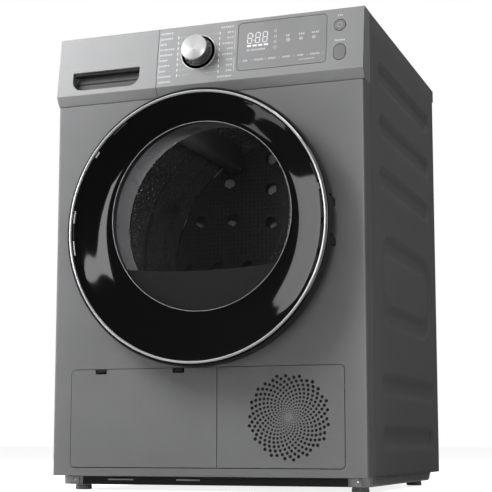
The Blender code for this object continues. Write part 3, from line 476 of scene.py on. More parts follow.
# Corner brackets: small zinc angles that tie the front panel's bottom flange to the base, each held
# by a cross-head screw
def screw(name, centre, look, radius=0.0038, facing="front", depth=0.0016):
    """A pan head with a cross recess, its seat at centre, facing out of the cabinet."""
    head = [(0.0, 0.0), (radius, 0.0), (radius, depth * 0.35), (radius * 0.86, depth * 0.75),
            (radius * 0.5, depth * 0.97), (0.0, depth)]
    made = revolved(name, head, (0, 0), look, 20, "z")
    arm = radius * 0.62
    for turn, (a, b) in enumerate(((arm, radius * 0.13), (radius * 0.13, arm))):
        groove = extruded(f"{name}_{turn}", [(-a, -b), (a, -b), (a, b), (-a, b)], depth * 0.45,
                         depth * 1.2, look, "z")
        carve(made, groove)
    tip = Matrix.Rotation(math.pi / 2 if facing == "front" else -math.pi / 2, 4, "X")
    made.data.transform(Matrix.Translation(centre) @ tip)
    return made


for side in ("left", "right"):
    low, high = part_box(f"corner_bracket_{side}")
    centre = ((low[0] + high[0]) / 2, FRONT + 0.0299, (low[2] + high[2]) / 2 - 0.0006)
    bracket_screw = screw(f"bracket_screw_{side}", centre, chrome, 0.0042)
    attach(bracket_screw, "cabinet")


# Side panels: folded sheet with seven wide ribs pressed inwards. The middle two are joined at both
# ends, so they make a long ring. The paint is the front's grey made a little darker: painted shade.
RIB_LOW_Z, RIB_FRONT, RIB_REAR, RIB_HALF, RIB_DEPTH = 0.026, 0.098, 0.540, 0.0215, 0.0064
rib_middles = (0.756, 0.660, 0.564, 0.188, 0.093)


def pressed(back, z):
    """How far the sheet is pressed in, from the distance to the nearest rib's outline."""
    nearest = 1.0
    for middle in rib_middles:
        along = max(RIB_FRONT + RIB_HALF - back, back - RIB_REAR + RIB_HALF, 0.0)
        nearest = min(nearest, math.hypot(along, z - middle) - RIB_HALF)
    ring_half, ring_high, ring_radius = 0.224, 0.087, 0.078
    a = abs(back - 0.321) - ring_half + ring_radius
    b = abs(z - 0.378) - ring_high + ring_radius
    outside = math.hypot(max(a, 0), max(b, 0)) + min(max(a, b), 0) - ring_radius
    nearest = min(nearest, abs(outside + 0.0225) - 0.0225)
    share = min(max(-nearest / 0.0095, 0.0), 1.0)
    return RIB_DEPTH * share * share * (3 - 2 * share)


def spaced(start, end, step):
    count = max(1, round((end - start) / step))
    return [start + (end - start) * k / count for k in range(count + 1)]


def side_sheet(name, sign):
    bend = 0.0018
    front_edge, rear_edge = 0.0418, 0.5905
    turns = [math.pi / 2 * k / 4 for k in range(5)]
    rows = spaced(RIB_LOW_Z, 0.8240, 0.0048)
    backs = spaced(front_edge + bend, 0.092, 0.02) + spaced(0.096, 0.144, 0.0048)
    backs += spaced(0.150, 0.490, 0.012) + spaced(0.4955, 0.545, 0.0048)
    backs += spaced(0.552, rear_edge - bend, 0.02)
    points = []
    for z in rows:
        line = [(HALF - 0.0075, front_edge)]
        line += [(HALF - bend + bend * math.sin(t), front_edge + bend - bend * math.cos(t))
                 for t in turns[:-1]]
        line += [(HALF - pressed(back, z), back) for back in backs]
        line += [(HALF - bend + bend * math.cos(t), rear_edge - bend + bend * math.sin(t))
                 for t in turns[1:]]
        line += [(HALF - 0.0075, rear_edge)]
        points += [(sign * x, FRONT + back, z) for x, back in line]
    wide = len(points) // len(rows)
    faces = []
    for r in range(len(rows) - 1):
        for c in range(wide - 1):
            k = r * wide + c
            quad = (k, k + 1, k + wide + 1, k + wide)
            faces.append(quad if sign > 0 else quad[::-1])
    made = piece(name, points, faces, side_paint)
    wall = made.modifiers.new("Wall", "SOLIDIFY")
    wall.thickness, wall.offset = 0.0008, -1
    return applied(made)


for side, sign in (("left", -1), ("right", 1)):
    sheet = side_sheet(f"side_sheet_{side}", sign)
    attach(sheet, "cabinet")
    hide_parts(f"side_panel_{side}")


# Front panel: one pressed sheet with rounded upright edges, a round port for the drum, a service
# opening below it, slots for the two hinge arms and one for the door's hook
SEAM_Z, PORT_Z = 0.716, 0.487
PORT_RADIUS = 0.205
SERVICE = (-0.2625, 0.0405, 0.2575, 0.2185)


def fold_line(half, radius, depth, inset):
    """Half the sheet's plan section: down one side, round the bend and to the middle."""
    bend = [(half - radius + radius * math.sin(t), radius - radius * math.cos(t))
            for t in (math.pi / 2 * (1 - k / 6) for k in range(7))]
    return [(half, depth)] + [(x, y + inset) for x, y in bend]


outer = fold_line(HALF, 0.0055, 0.0375, 0.0)
inner = fold_line(HALF - 0.001, 0.0045, 0.0375, 0.001)
plan = [(x, FRONT + y) for x, y in outer]
plan += [(-x, FRONT + y) for x, y in outer[::-1]]
plan += [(-x, FRONT + y) for x, y in inner] + [(x, FRONT + y) for x, y in inner[::-1]]
front_sheet = extruded("front_sheet", plan, 0.0265, SEAM_Z - 0.0005, grey_paint, "z")
port_tool = revolved("port_tool", [(0, FRONT - 0.01), (PORT_RADIUS, FRONT - 0.01),
                                   (PORT_RADIUS, FRONT + 0.01), (0, FRONT + 0.01)],
                     (0, PORT_Z), grey_paint, 160)
service_tool = extruded("service_tool", rounded_outline(*SERVICE, 0.009), FRONT - 0.01,
                        FRONT + 0.01, grey_paint)
keeper_tool = block("keeper_tool", (-0.2245, FRONT - 0.01, 0.4525), (-0.2110, FRONT + 0.01, 0.4775),
                    grey_paint)
arm_tools = [block(f"arm_tool_{k}", (0.2325, FRONT - 0.01, z - 0.007),
                   (0.2435, FRONT + 0.01, z + 0.007), grey_paint) for k, z in enumerate((0.43, 0.5))]
carve(front_sheet, port_tool, service_tool, keeper_tool, *arm_tools)
top_fold = block("top_fold", (-HALF + 0.004, FRONT + 0.0012, SEAM_Z - 0.0015),
                 (HALF - 0.004, FRONT + 0.036, SEAM_Z - 0.0006), grey_paint)
low_fold = block("low_fold", (-HALF + 0.004, FRONT + 0.0012, 0.0266),
                 (HALF - 0.004, FRONT + 0.0322, 0.0275), grey_paint)
front_sheet = gathered("front_sheet", [front_sheet, top_fold, low_fold])
front_sheet.data.shade_smooth()
front_sheet.data.set_sharp_from_angle(angle=math.radians(28))
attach(front_sheet, "cabinet")
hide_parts("front_panel")


# Lid: a hollow worktop with softly rounded edges, which overhangs the sides' upper ends at the back
lid_low, lid_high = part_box("top_cover")
lid = block("lid", lid_low, lid_high, grey_paint)
lid_tool = block("lid_tool", lid_low + Vector((0.003, 0.003, -0.01)),
                 lid_high - Vector((0.003, 0.003, 0.003)), grey_paint)
carve(lid, lid_tool)
softened(lid, 0.0022, 3, 60)
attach(lid, "cabinet")
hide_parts("top_cover")


# Service flap and grille: two pressed plates under the door. The flap has two notches for its
# catches and hinges on a pin along its lower edge. The grille is fixed, and its holes lie on a
# sunflower spiral, fine at the middle and coarse at the rim.
def service_plate(name, left, right, square):
    """A plate with its outer corners rounded, and square where it meets the other plate."""
    wide = rounded_outline(left - 0.02 * (square == "left"), SERVICE[1] + 0.0014,
                           right + 0.02 * (square == "right"), SERVICE[3] - 0.0010, 0.0075)
    outline = [(min(max(x, left), right), z) for x, z in wide]
    return extruded(name, outline, FRONT - 0.0005, FRONT + 0.0015, grey_paint)


flap_lugs = [block(f"lug_{k}", (x - 0.006, FRONT + 0.001, 0.0505), (x + 0.006, FRONT + 0.0085, 0.0585),
                   grey_paint) for k, x in enumerate((-0.225, -0.119, -0.013))]
flap = service_plate("flap", SERVICE[0] + 0.001, 0.0238, "right")
notches = [block(f"notch_{k}", (x - 0.0110, FRONT - 0.01, 0.2090), (x + 0.0110, FRONT + 0.01, 0.24),
                 grey_paint) for k, x in enumerate((-0.2018, -0.0494))]
carve(flap, *notches)
softened(flap, 0.0005)
flap = gathered("flap", [flap, *flap_lugs])
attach(flap, "flap")
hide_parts("service_flap")

for side, x in (("left", -0.2018), ("right", -0.0494)):
    tongue = block(f"tongue_{side}", (x - 0.0100, FRONT + 0.0019, 0.2108),
                   (x + 0.0070, FRONT + 0.0110, 0.2180), dark_plastic)
    hook = block(f"hook_{side}", (x - 0.0070, FRONT - 0.0010, 0.2134),
                 (x + 0.0088, FRONT + 0.0030, 0.2170), dark_plastic)
    catch = gathered(f"catch_{side}_moulded", [softened(tongue, 0.0004), softened(hook, 0.0005)])
    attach(catch, f"catch_{side}")
    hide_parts(f"flap_catch_{side}")

spiral = bpy.data.node_groups.new("sunflower_holes", "GeometryNodeTree")
socket(spiral, "Plate", "NodeSocketObject")
socket(spiral, "Holes", "NodeSocketInt", default=430)
socket(spiral, "Outer radius", "NodeSocketFloat", default=0.0740)
socket(spiral, "Smallest hole", "NodeSocketFloat", default=0.0006)
socket(spiral, "Largest hole", "NodeSocketFloat", default=0.0032)
socket(spiral, "Middle", "NodeSocketVector")
socket(spiral, "Geometry", "NodeSocketGeometry", "OUTPUT")
given, result = add(spiral, "NodeGroupInput"), add(spiral, "NodeGroupOutput")
seeds = add(spiral, "GeometryNodePoints")
number = add(spiral, "GeometryNodeInputIndex")
offset = add(spiral, "ShaderNodeMath", operation="ADD")
offset.inputs[1].default_value = 43.0
fewer = add(spiral, "ShaderNodeMath", operation="SUBTRACT")
fewer.inputs[1].default_value = 43.0
share = add(spiral, "ShaderNodeMath", operation="DIVIDE")
root = add(spiral, "ShaderNodeMath", operation="SQRT")
reach = add(spiral, "ShaderNodeMath", operation="MULTIPLY")
turn = add(spiral, "ShaderNodeMath", operation="MULTIPLY")
turn.inputs[1].default_value = math.pi * (3 - math.sqrt(5))
sine, cosine = (add(spiral, "ShaderNodeMath", operation=kind) for kind in ("SINE", "COSINE"))
across, upward = (add(spiral, "ShaderNodeMath", operation="MULTIPLY") for _ in range(2))
spot = add(spiral, "ShaderNodeCombineXYZ")
moved = add(spiral, "ShaderNodeVectorMath", operation="ADD")
sizing = add(spiral, "ShaderNodeMapRange")
sizing.inputs["From Min"].default_value = 0.3
drill = add(spiral, "GeometryNodeMeshCylinder")
drill.inputs["Vertices"].default_value = 14
drill.inputs["Radius"].default_value = 1.0
drill.inputs["Depth"].default_value = 0.02
drill_size = add(spiral, "ShaderNodeCombineXYZ")
drill_size.inputs["Z"].default_value = 1.0
drills = add(spiral, "GeometryNodeInstanceOnPoints")
drills.inputs["Rotation"].default_value = (math.pi / 2, 0, 0)
real = add(spiral, "GeometryNodeRealizeInstances")
sheet_in = add(spiral, "GeometryNodeObjectInfo")
punched = add(spiral, "GeometryNodeMeshBoolean", operation="DIFFERENCE", solver="EXACT")
settled = add(spiral, "GeometryNodeRealizeInstances")
painted = add(spiral, "GeometryNodeSetMaterial")
painted.inputs["Material"].default_value = grey_paint
placed = add(spiral, "GeometryNodeSetPosition")
for start, end in (
    (given.outputs["Holes"], fewer.inputs[0]),
    (fewer.outputs[0], seeds.inputs["Count"]),
    (number.outputs[0], offset.inputs[0]),
    (offset.outputs[0], share.inputs[0]),
    (given.outputs["Holes"], share.inputs[1]),
    (share.outputs[0], root.inputs[0]),
    (share.outputs[0], reach.inputs[0]),
    (given.outputs["Outer radius"], reach.inputs[1]),
    (offset.outputs[0], turn.inputs[0]),
    (turn.outputs[0], sine.inputs[0]),
    (turn.outputs[0], cosine.inputs[0]),
    (reach.outputs[0], across.inputs[0]),
    (sine.outputs[0], across.inputs[1]),
    (reach.outputs[0], upward.inputs[0]),
    (cosine.outputs[0], upward.inputs[1]),
    (across.outputs[0], spot.inputs["X"]),
    (upward.outputs[0], spot.inputs["Z"]),
    (spot.outputs[0], moved.inputs[0]),
    (given.outputs["Middle"], moved.inputs[1]),
    (seeds.outputs[0], placed.inputs["Geometry"]),
    (moved.outputs[0], placed.inputs["Position"]),
    (placed.outputs[0], drills.inputs["Points"]),
    (root.outputs[0], sizing.inputs["Value"]),
    (given.outputs["Smallest hole"], sizing.inputs["To Min"]),
    (given.outputs["Largest hole"], sizing.inputs["To Max"]),
    (sizing.outputs[0], drill_size.inputs["X"]),
    (sizing.outputs[0], drill_size.inputs["Y"]),
    (drill.outputs["Mesh"], drills.inputs["Instance"]),
    (drill_size.outputs[0], drills.inputs["Scale"]),
    (drills.outputs[0], real.inputs[0]),
    (given.outputs["Plate"], sheet_in.inputs["Object"]),
    (sheet_in.outputs["Geometry"], punched.inputs["Mesh 1"]),
    (real.outputs[0], punched.inputs["Mesh 2"]),
    (punched.outputs["Mesh"], settled.inputs[0]),
    (settled.outputs[0], painted.inputs["Geometry"]),
    (painted.outputs[0], result.inputs["Geometry"]),
):
    spiral.links.new(start, end)

blank = softened(service_plate("blank", 0.0250, SERVICE[2] - 0.001, "left"), 0.0005)
grille = grown("grille", spiral, Plate=blank, Middle=(0.1570, FRONT, 0.1295))
bpy.data.objects.remove(blank)
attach(grille, "cabinet")
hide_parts("grille_panel")
grille_lining = revolved("grille_lining", [(0, FRONT + 0.0045), (0.083, FRONT + 0.0045),
                                           (0.083, FRONT + 0.0055), (0, FRONT + 0.0055)],
                         (0.1570, 0.1295), dark_plastic, 64)
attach(grille_lining, "cabinet")


# Console: a silver satin moulding that leans back above a sharp crease, chamfered in to the front
# panel below it. It wraps round both sides. The left third is the front of the tank drawer.
CREASE_BACK, CREASE_Z, TOP_BACK, TOP_Z = -0.010, 0.734, 0.006, 0.850
TILT = math.atan2(TOP_BACK - CREASE_BACK, TOP_Z - CREASE_Z)
DRAWER_RIGHT = -0.0948


def on_console(made):
    """Moves a shape from the console's own frame (x, depth, height up the face) onto the face."""
    made.data.transform(
        Matrix.Translation((0, FRONT + CREASE_BACK, CREASE_Z)) @ Matrix.Rotation(-TILT, 4, "X")
    )
    return made


def console_shell(name, left, right):
    outline = [(FRONT + 0.0003, 0.7166), (FRONT + CREASE_BACK + 0.0006, CREASE_Z - 0.0015),
               (FRONT + CREASE_BACK, CREASE_Z), (FRONT + CREASE_BACK + 0.00025, CREASE_Z + 0.0018),
               (FRONT + TOP_BACK - 0.0004, TOP_Z - 0.0020), (FRONT + TOP_BACK + 0.0006, TOP_Z - 0.0005),
               (FRONT + TOP_BACK + 0.0022, TOP_Z), (FRONT + 0.0404, TOP_Z), (FRONT + 0.0404, 0.7166)]
    return extruded(name, outline, left, right, console_plastic, "x")


def flat_tool(name, outline, start, end):
    return on_console(extruded(name, outline, start, end, console_plastic))


def round_tool(name, x, up, radius, start, end, steps=64):
    return on_console(revolved(name, [(0, start), (radius, start), (radius, end), (0, end)], (x, up),
                               console_plastic, steps))


drawer = console_shell("drawer", -HALF, DRAWER_RIGHT)
recess = [(x, z) for x, z in rounded_outline(-0.2670, 0.0095, -0.1300, 0.0900, 0.0200, 10) if z < 0.04]
recess += [(-0.1300, 0.0455), (-0.2670, 0.0455)]
carve(drawer, flat_tool("recess_tool", recess, -0.02, 0.0172))
softened(drawer, 0.0006, 2, 20)
# The pocket's back and lining are a dark grey instead of the console's silver, and the lip along its top
# is black: painted shade in the recess.
pocket_painted_shade = grained("pocket_painted_shade", (0.085, 0.085, 0.087), 0.0012, 0.2, 0.1, 0.45)
pocket = extruded("pocket", rounded_outline(-0.2668, 0.0097, -0.1302, 0.0453, 0.0195, 10), 0.0158,
                  0.0172, pocket_painted_shade)
lip = extruded("lip", [(-0.2660, 0.0405), (-0.1310, 0.0405), (-0.1310, 0.0452), (-0.2660, 0.0452)],
               0.0035, 0.0160, dark_plastic)
liner = [(x, z) for x, z in rounded_outline(-0.2669, 0.0096, -0.1301, 0.0454, 0.0198, 10)]
liner_wall = extruded("liner_wall", liner, 0.0016, 0.0170, pocket_painted_shade)
carve(liner_wall, extruded("liner_bore", rounded_outline(-0.2662, 0.0103, -0.1308, 0.0447, 0.0191, 10),
                           -0.01, 0.04, dark_plastic))
pocket = gathered("handle_pocket", [on_console(pocket), on_console(lip), on_console(liner_wall)])
drawer = gathered("drawer", [drawer, pocket])
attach(drawer, "tank_drawer")
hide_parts("tank_drawer_front")

KNOB = (-0.0135, 0.0616)
POWER, START = (0.2546, 0.0845), (0.2552, 0.0328)
DISPLAY = (0.0630, 0.0158, 0.2310, 0.1098)
fascia = console_shell("fascia", DRAWER_RIGHT + 0.0006, HALF)
carve(
    fascia,
    round_tool("knob_tool", *KNOB, 0.0335, -0.02, 0.010),
    round_tool("power_tool", *POWER, 0.0113, -0.02, 0.006, 40),
    flat_tool("start_tool", rounded_outline(START[0] - 0.0117, START[1] - 0.0155, START[0] + 0.0117,
                                            START[1] + 0.0155, 0.0116, 10), -0.02, 0.006),
    flat_tool("display_tool", rounded_outline(*DISPLAY, 0.0078), -0.02, 0.004),
)
softened(fascia, 0.0005, 2, 20)
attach(fascia, "cabinet")
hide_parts("control_fascia")

pane_low = (DISPLAY[0] + 0.0008, DISPLAY[1] + 0.0008)
pane_high = (DISPLAY[2] - 0.0008, DISPLAY[3] - 0.0008)
pane_plastic = grained("pane_plastic", (0.33, 0.332, 0.336), 0.0007, 0.15, 0.02, 0.30, metallic=0.35)
pane = extruded("pane", rounded_outline(*pane_low, *pane_high, 0.0070), 0.0000, 0.0032, pane_plastic)
pane_gasket = extruded("pane_gasket", rounded_outline(DISPLAY[0] + 0.0001, DISPLAY[1] + 0.0001,
                                                      DISPLAY[2] - 0.0001, DISPLAY[3] - 0.0001, 0.0077),
                       0.0010, 0.0036, dark_plastic)
pane = on_console(gathered("pane", [softened(pane, 0.0003, 2, 40), pane_gasket]))
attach(pane, "cabinet")
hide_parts("display_window")

cap_plastic = grained("cap_plastic", (0.25, 0.251, 0.254), 0.0007, 0.15, 0.03, 0.36, metallic=0.35)
for name, body, middle, outline in (
    ("power_cap", "power_key", POWER, [(POWER[0] + 0.0105 * math.cos(t), POWER[1] + 0.0105 * math.sin(t))
                                for t in (2 * math.pi * k / 48 for k in range(48))]),
    ("start_cap", "start_key", START, rounded_outline(START[0] - 0.0109, START[1] - 0.0147,
                                               START[0] + 0.0109, START[1] + 0.0147, 0.0108, 12)),
):
    cap = softened(extruded(name, outline, -0.0004, 0.0042, cap_plastic), 0.0009, 3, 40)
    boot = [(x + (x - middle[0]) * 0.05, z + (z - middle[1]) * 0.035) for x, z in outline]
    cap = on_console(gathered(name, [cap, extruded("boot", boot, 0.0012, 0.0045, dark_plastic)]))
    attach(cap, body)
    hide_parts("power_button" if body == "power_key" else "start_button")


# Programme knob: a spun aluminium cap with a finely faceted skirt, sunk in a black well inside a
# bright ring, on a short shaft to the control board
# The cap's base colour is painted with two light and two dark fans round its middle. This is a painted
# highlight that stands in for the sheen of spun metal. The fine turned rings are bump relief.
spun_metal = finish("spun_metal", (0.80, 0.80, 0.81), 0.24, metallic=0.5)
tree = spun_metal.node_tree
shader = tree.nodes["Principled BSDF"]
coords = add(tree, "ShaderNodeTexCoord")
centre = add(tree, "ShaderNodeMapping")
centre.inputs["Location"].default_value = (-KNOB[0], 0, -(CREASE_Z + KNOB[1] * math.cos(TILT)))
angle = add(tree, "ShaderNodeSeparateXYZ")
sweep = add(tree, "ShaderNodeMath", operation="ARCTAN2")
fans = add(tree, "ShaderNodeMath", operation="MULTIPLY_ADD")
fans.inputs[1].default_value = 2.0
fans.inputs[2].default_value = 0.9
wave = add(tree, "ShaderNodeMath", operation="SINE")
painted_sheen_range = add(tree, "ShaderNodeMapRange")
painted_sheen_range.inputs["From Min"].default_value = -1.0
painted_sheen_range.inputs["To Min"].default_value = 0.42
painted_sheen_range.inputs["To Max"].default_value = 1.0
painted_sheen_mix = add(tree, "ShaderNodeMix", data_type="RGBA")
painted_sheen_mix.inputs[6].default_value = (0.42, 0.42, 0.425, 1)
painted_sheen_mix.inputs[7].default_value = (0.92, 0.92, 0.93, 1)
rings = add(tree, "ShaderNodeTexWave", wave_type="RINGS", rings_direction="Y")
rings.inputs["Scale"].default_value = 900.0
turning = add(tree, "ShaderNodeBump")
turning.inputs["Strength"].default_value = 0.12
turning.inputs["Distance"].default_value = 0.0001
for start, end in (
    (coords.outputs["Object"], centre.inputs["Vector"]),
    (centre.outputs[0], angle.inputs[0]),
    (angle.outputs["Z"], sweep.inputs[0]),
    (angle.outputs["X"], sweep.inputs[1]),
    (sweep.outputs[0], fans.inputs[0]),
    (fans.outputs[0], wave.inputs[0]),
    (wave.outputs[0], painted_sheen_range.inputs["Value"]),
    (painted_sheen_range.outputs["Result"], painted_sheen_mix.inputs[0]),
    (painted_sheen_mix.outputs[2], shader.inputs["Base Color"]),
    (centre.outputs[0], rings.inputs["Vector"]),
    (rings.outputs["Fac"], turning.inputs["Height"]),
    (turning.outputs[0], shader.inputs["Normal"]),
):
    tree.links.new(start, end)

ring_satin = grained("ring_satin", (0.78, 0.78, 0.79), 0.002, 0.05, 0.02, 0.28, metallic=0.25)
ring_of_knob = on_console(revolved("knob_ring", [
    (0.0324, 0.0040), (0.0324, -0.0002), (0.0328, -0.0013), (0.0335, -0.0017), (0.0343, -0.0011),
    (0.0346, 0.0000), (0.0334, 0.0001), (0.0334, 0.0040)], KNOB, ring_satin, 96))
well = on_console(revolved("knob_well", [
    (0.0045, 0.0072), (0.0300, 0.0072), (0.0318, 0.0050), (0.0322, 0.0010), (0.0330, 0.0010),
    (0.0330, 0.0085), (0.0045, 0.0085)], KNOB, gloss_black, 96))
knob_surround = gathered("knob_surround", [ring_of_knob, well])
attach(knob_surround, "cabinet")
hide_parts("knob_bezel")

skirt_look = grained("skirt_metal", (0.20, 0.20, 0.205), 0.002, 0.1, 0.02, 0.2, 0.04, metallic=1.0)
skirt_section = [(0.0285, 0.0020), (0.0283, -0.0030), (0.0262, -0.0075), (0.0256, -0.0140),
                 (0.0247, -0.0222)]
facets = 48
points, faces = [], []
for radius, depth in skirt_section:
    for k in range(facets):
        turn = 2 * math.pi * k / facets
        size = radius - (0.0005 if k % 2 else 0.0)
        points.append((KNOB[0] + size * math.cos(turn), depth, KNOB[1] + size * math.sin(turn)))
for row in range(len(skirt_section) - 1):
    for k in range(facets):
        a, b = row * facets + k, row * facets + (k + 1) % facets
        faces.append((a, b, b + facets, a + facets))
faces += [tuple(range(facets)), tuple(range((len(skirt_section) - 1) * facets,
                                            len(skirt_section) * facets))[::-1]]
skirt = on_console(closed(piece("knob_skirt", points, faces, skirt_look, False)))
face = on_console(revolved("knob_face", [
    (0.0, -0.0215), (0.0241, -0.0215), (0.0246, -0.0222), (0.0246, -0.0234), (0.0240, -0.0245),
    (0.0231, -0.0250), (0.0, -0.0251)], KNOB, spun_metal, 96))
knob = gathered("knob_cap", [face, skirt])
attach(knob, "knob")
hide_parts("programme_knob")


# Printing on the console: plain white dashes, bars and leader lines round the knob, a lit figure
# display and small signs. Words are left out: short rows of plain blocks stand where labels would be.
print_white = grained("print_white", (0.78, 0.78, 0.79), 0.002, 0.04, 0.0, 0.5)
faint_print = grained("faint_print", (0.70, 0.70, 0.71), 0.002, 0.04, 0.0, 0.5)
PRINT_FRONT, PRINT_BACK = -0.00012, 0.00020
printed = []


def stroke(start, end, width, look=print_white):
    """A straight printed line from one (x, up) to another."""
    (x0, z0), (x1, z1) = start, end
    length = math.hypot(x1 - x0, z1 - z0)
    a, b = (x1 - x0) / length * width / 2, (z1 - z0) / length * width / 2
    outline = [(x0 + b, z0 - a), (x1 + b, z1 - a), (x1 - b, z1 + a), (x0 - b, z0 + a)]
    printed.append(extruded(f"mark_{len(printed)}", outline, PRINT_FRONT, PRINT_BACK, look))


def loop(centre, radius, width, look=print_white, steps=20, squash=1.0):
    outer = [(centre[0] + radius * math.cos(t), centre[1] + squash * radius * math.sin(t))
             for t in (2 * math.pi * k / steps for k in range(steps))]
    for k in range(steps):
        stroke(outer[k], outer[(k + 1) % steps], width, look)


def label(x, up, blocks, pitch, look=faint_print, high=0.0030):
    """A row of plain blocks, a little uneven, where a word would be."""
    for k in range(blocks):
        width = pitch * (0.62 + 0.16 * ((k * 7 + round(up * 1e4)) % 3) / 2)
        near, far = x + k * pitch, x + k * pitch + width
        stroke((near, up + 0.3 * high), (far, up + 0.3 * high), 0.4 * high, look)
        foot_end = far - 0.2 * width * (k % 2)
        stroke((near, up - 0.35 * high), (foot_end, up - 0.35 * high), 0.3 * high, look)
        post = near + width * (0.2, 0.5, 0.8)[k % 3]
        stroke((post, up - 0.5 * high), (post, up + 0.5 * high), 0.0008, look)


ROWS = [0.1058 - 0.01078 * k for k in range(10)]
for k, up in enumerate(ROWS):
    count = (6, 6, 3, 7, 6, 4, 5, 3, 6, 6)[k]
    label(-0.0895, up, count, 0.0041)
    right = (6, 3, 3, 5, 3, 5, 3, 3, 3, 7)[k]
    label(0.0545 - right * 0.0041, up, right, 0.0041)
for left_bar in ((1, 5), (6, 8)):
    stroke((-0.0915, ROWS[left_bar[0]] + 0.003), (-0.0915, ROWS[left_bar[1]] - 0.003), 0.0005)
for right_bar in ((1, 4), (6, 8)):
    stroke((0.0570, ROWS[right_bar[0]] + 0.003), (0.0570, ROWS[right_bar[1]] - 0.003), 0.0005)
for up in ROWS[1:9]:
    rise = up - KNOB[1]
    for side in (-1, 1):
        dash_x = KNOB[0] + side * 0.0408
        stroke((dash_x, up - 0.0027), (dash_x, up + 0.0027), 0.0016)
        reach = math.sqrt(max(0.0365 ** 2 - rise * rise, 0.016 ** 2))
        if abs(dash_x - KNOB[0]) - 0.0035 > reach:
            stroke((dash_x - side * 0.0025, up), (KNOB[0] + side * (reach + 0.0008), up), 0.0003,
                   faint_print)

SEGMENTS = {"a": ((0, 1), (1, 1)), "b": ((1, 1), (1, 0.5)), "c": ((1, 0.5), (1, 0)),
            "d": ((0, 0), (1, 0)), "e": ((0, 0.5), (0, 0)), "f": ((0, 1), (0, 0.5)),
            "g": ((0, 0.5), (1, 0.5))}
for left in (0.0815, 0.0965, 0.1105):
    for (ax, az), (bx, bz) in SEGMENTS.values():
        start = Vector((left + ax * 0.0082 + az * 0.0010, 0.0680 + az * 0.0196))
        end = Vector((left + bx * 0.0082 + bz * 0.0010, 0.0680 + bz * 0.0196))
        gap = (end - start).normalized() * 0.0008
        stroke(start + gap, end - gap, 0.0015)
for up in (0.0735, 0.0825):
    stroke((0.0932, up - 0.0008), (0.0932, up + 0.0008), 0.0016)
for k in range(4):
    stroke((0.0808 + 0.0108 * k, 0.0628), (0.0890 + 0.0108 * k, 0.0628), 0.0036)
label(0.0810, 0.0545, 2, 0.0032)
label(0.0900, 0.0545, 8, 0.0034)
for k, up in enumerate((0.0870, 0.0766, 0.0660, 0.0556)):
    loop((0.1345, up), 0.0022 + 0.0003 * (k % 2), 0.0006, faint_print, 12)
for k, x in enumerate((0.159, 0.183, 0.207)):
    label(x - 0.0040, 0.0757 + 0.0002 * k, (2, 3, 4)[k], 0.0036)
    loop((x, 0.0670), 0.0028, 0.0007, print_white, 12, (1.2, 0.7, 0.8)[k])
    stroke((x - 0.0012, 0.0668), (x + 0.0014, 0.0676), 0.0009)
for k, x in enumerate((0.079, 0.105, 0.130, 0.157, 0.1835, 0.210)):
    count = (3, 6, 5, 5, 4, 6)[k]
    label(x - count * 0.00145, 0.0345, count, 0.0029)
for x in (0.0665, 0.0920, 0.1180, 0.1440, 0.1700, 0.1970, 0.2250):
    stroke((x, 0.0325), (x, 0.0365), 0.0004, faint_print)
label(0.1810, 0.0262, 10, 0.0030, faint_print, 0.0018)
label(POWER[0] - 0.0040, POWER[1] + 0.0190, 3, 0.0030, print_white)
label(START[0] - 0.0095, START[1] + 0.0225, 7, 0.0028, print_white)
loop(POWER, 0.0042, 0.0005, faint_print, 24)
console_print = on_console(gathered("console_print", printed[:-24]))
power_sign = on_console(gathered("power_sign", printed[-24:]))
power_sign.data.transform(Matrix.Translation((0, -0.0004, 0)))
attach(console_print, "cabinet")
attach(power_sign, "power_key")


# Door: a chrome trim ring in front, a deep glossy black bezel that curves in to a smoked pane, and a
# black moulded frame behind them that carries the inner glass, the air baffle and the hook
DOOR_Z = 0.465


def turned(name, section, looks, steps=192):
    """A ring about a line along Y whose section points are (radius, back, centre height)."""
    count = len(section)
    points = []
    for k in range(steps):
        turn = 2 * math.pi * k / steps
        points += [(r * math.cos(turn), FRONT + back, mid + r * math.sin(turn))
                   for r, back, mid in section]
    faces = [
        (count * k + j, count * k + (j + 1) % count,
         count * ((k + 1) % steps) + (j + 1) % count, count * ((k + 1) % steps) + j)
        for k in range(steps)
        for j in range(count)
    ]
    made = closed(piece(name, points, faces, looks))
    made.data.set_sharp_from_angle(angle=math.radians(32))
    return made


def curved(points, steps=6):
    """A smooth line through the given points."""
    line = []
    for k in range(len(points) - 1):
        a, b = points[k], points[k + 1]
        before = points[k - 1] if k else tuple(2 * p - q for p, q in zip(a, b))
        after = points[k + 2] if k + 2 < len(points) else tuple(2 * q - p for p, q in zip(a, b))
        for s in range(steps):
            t = s / steps
            line.append(tuple(
                0.5 * (2 * q + (r - p) * t + (2 * p - 5 * q + 4 * r - u) * t * t
                       + (3 * q - p - 3 * r + u) * t * t * t)
                for p, q, r, u in zip(before, a, b, after)
            ))
    return line + [points[-1]]


bezel_face = curved([(0.2366, -0.0536, DOOR_Z), (0.2280, -0.0484, DOOR_Z), (0.2120, -0.0402, 0.470),
                     (0.1950, -0.0317, 0.476), (0.1820, -0.0266, 0.482), (0.1717, -0.0246, PORT_Z)])
bezel = turned("bezel", bezel_face + [(r, back + 0.0022, mid) for r, back, mid in bezel_face[::-1]],
               gloss_black)
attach(bezel, "door")
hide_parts("door_bezel")

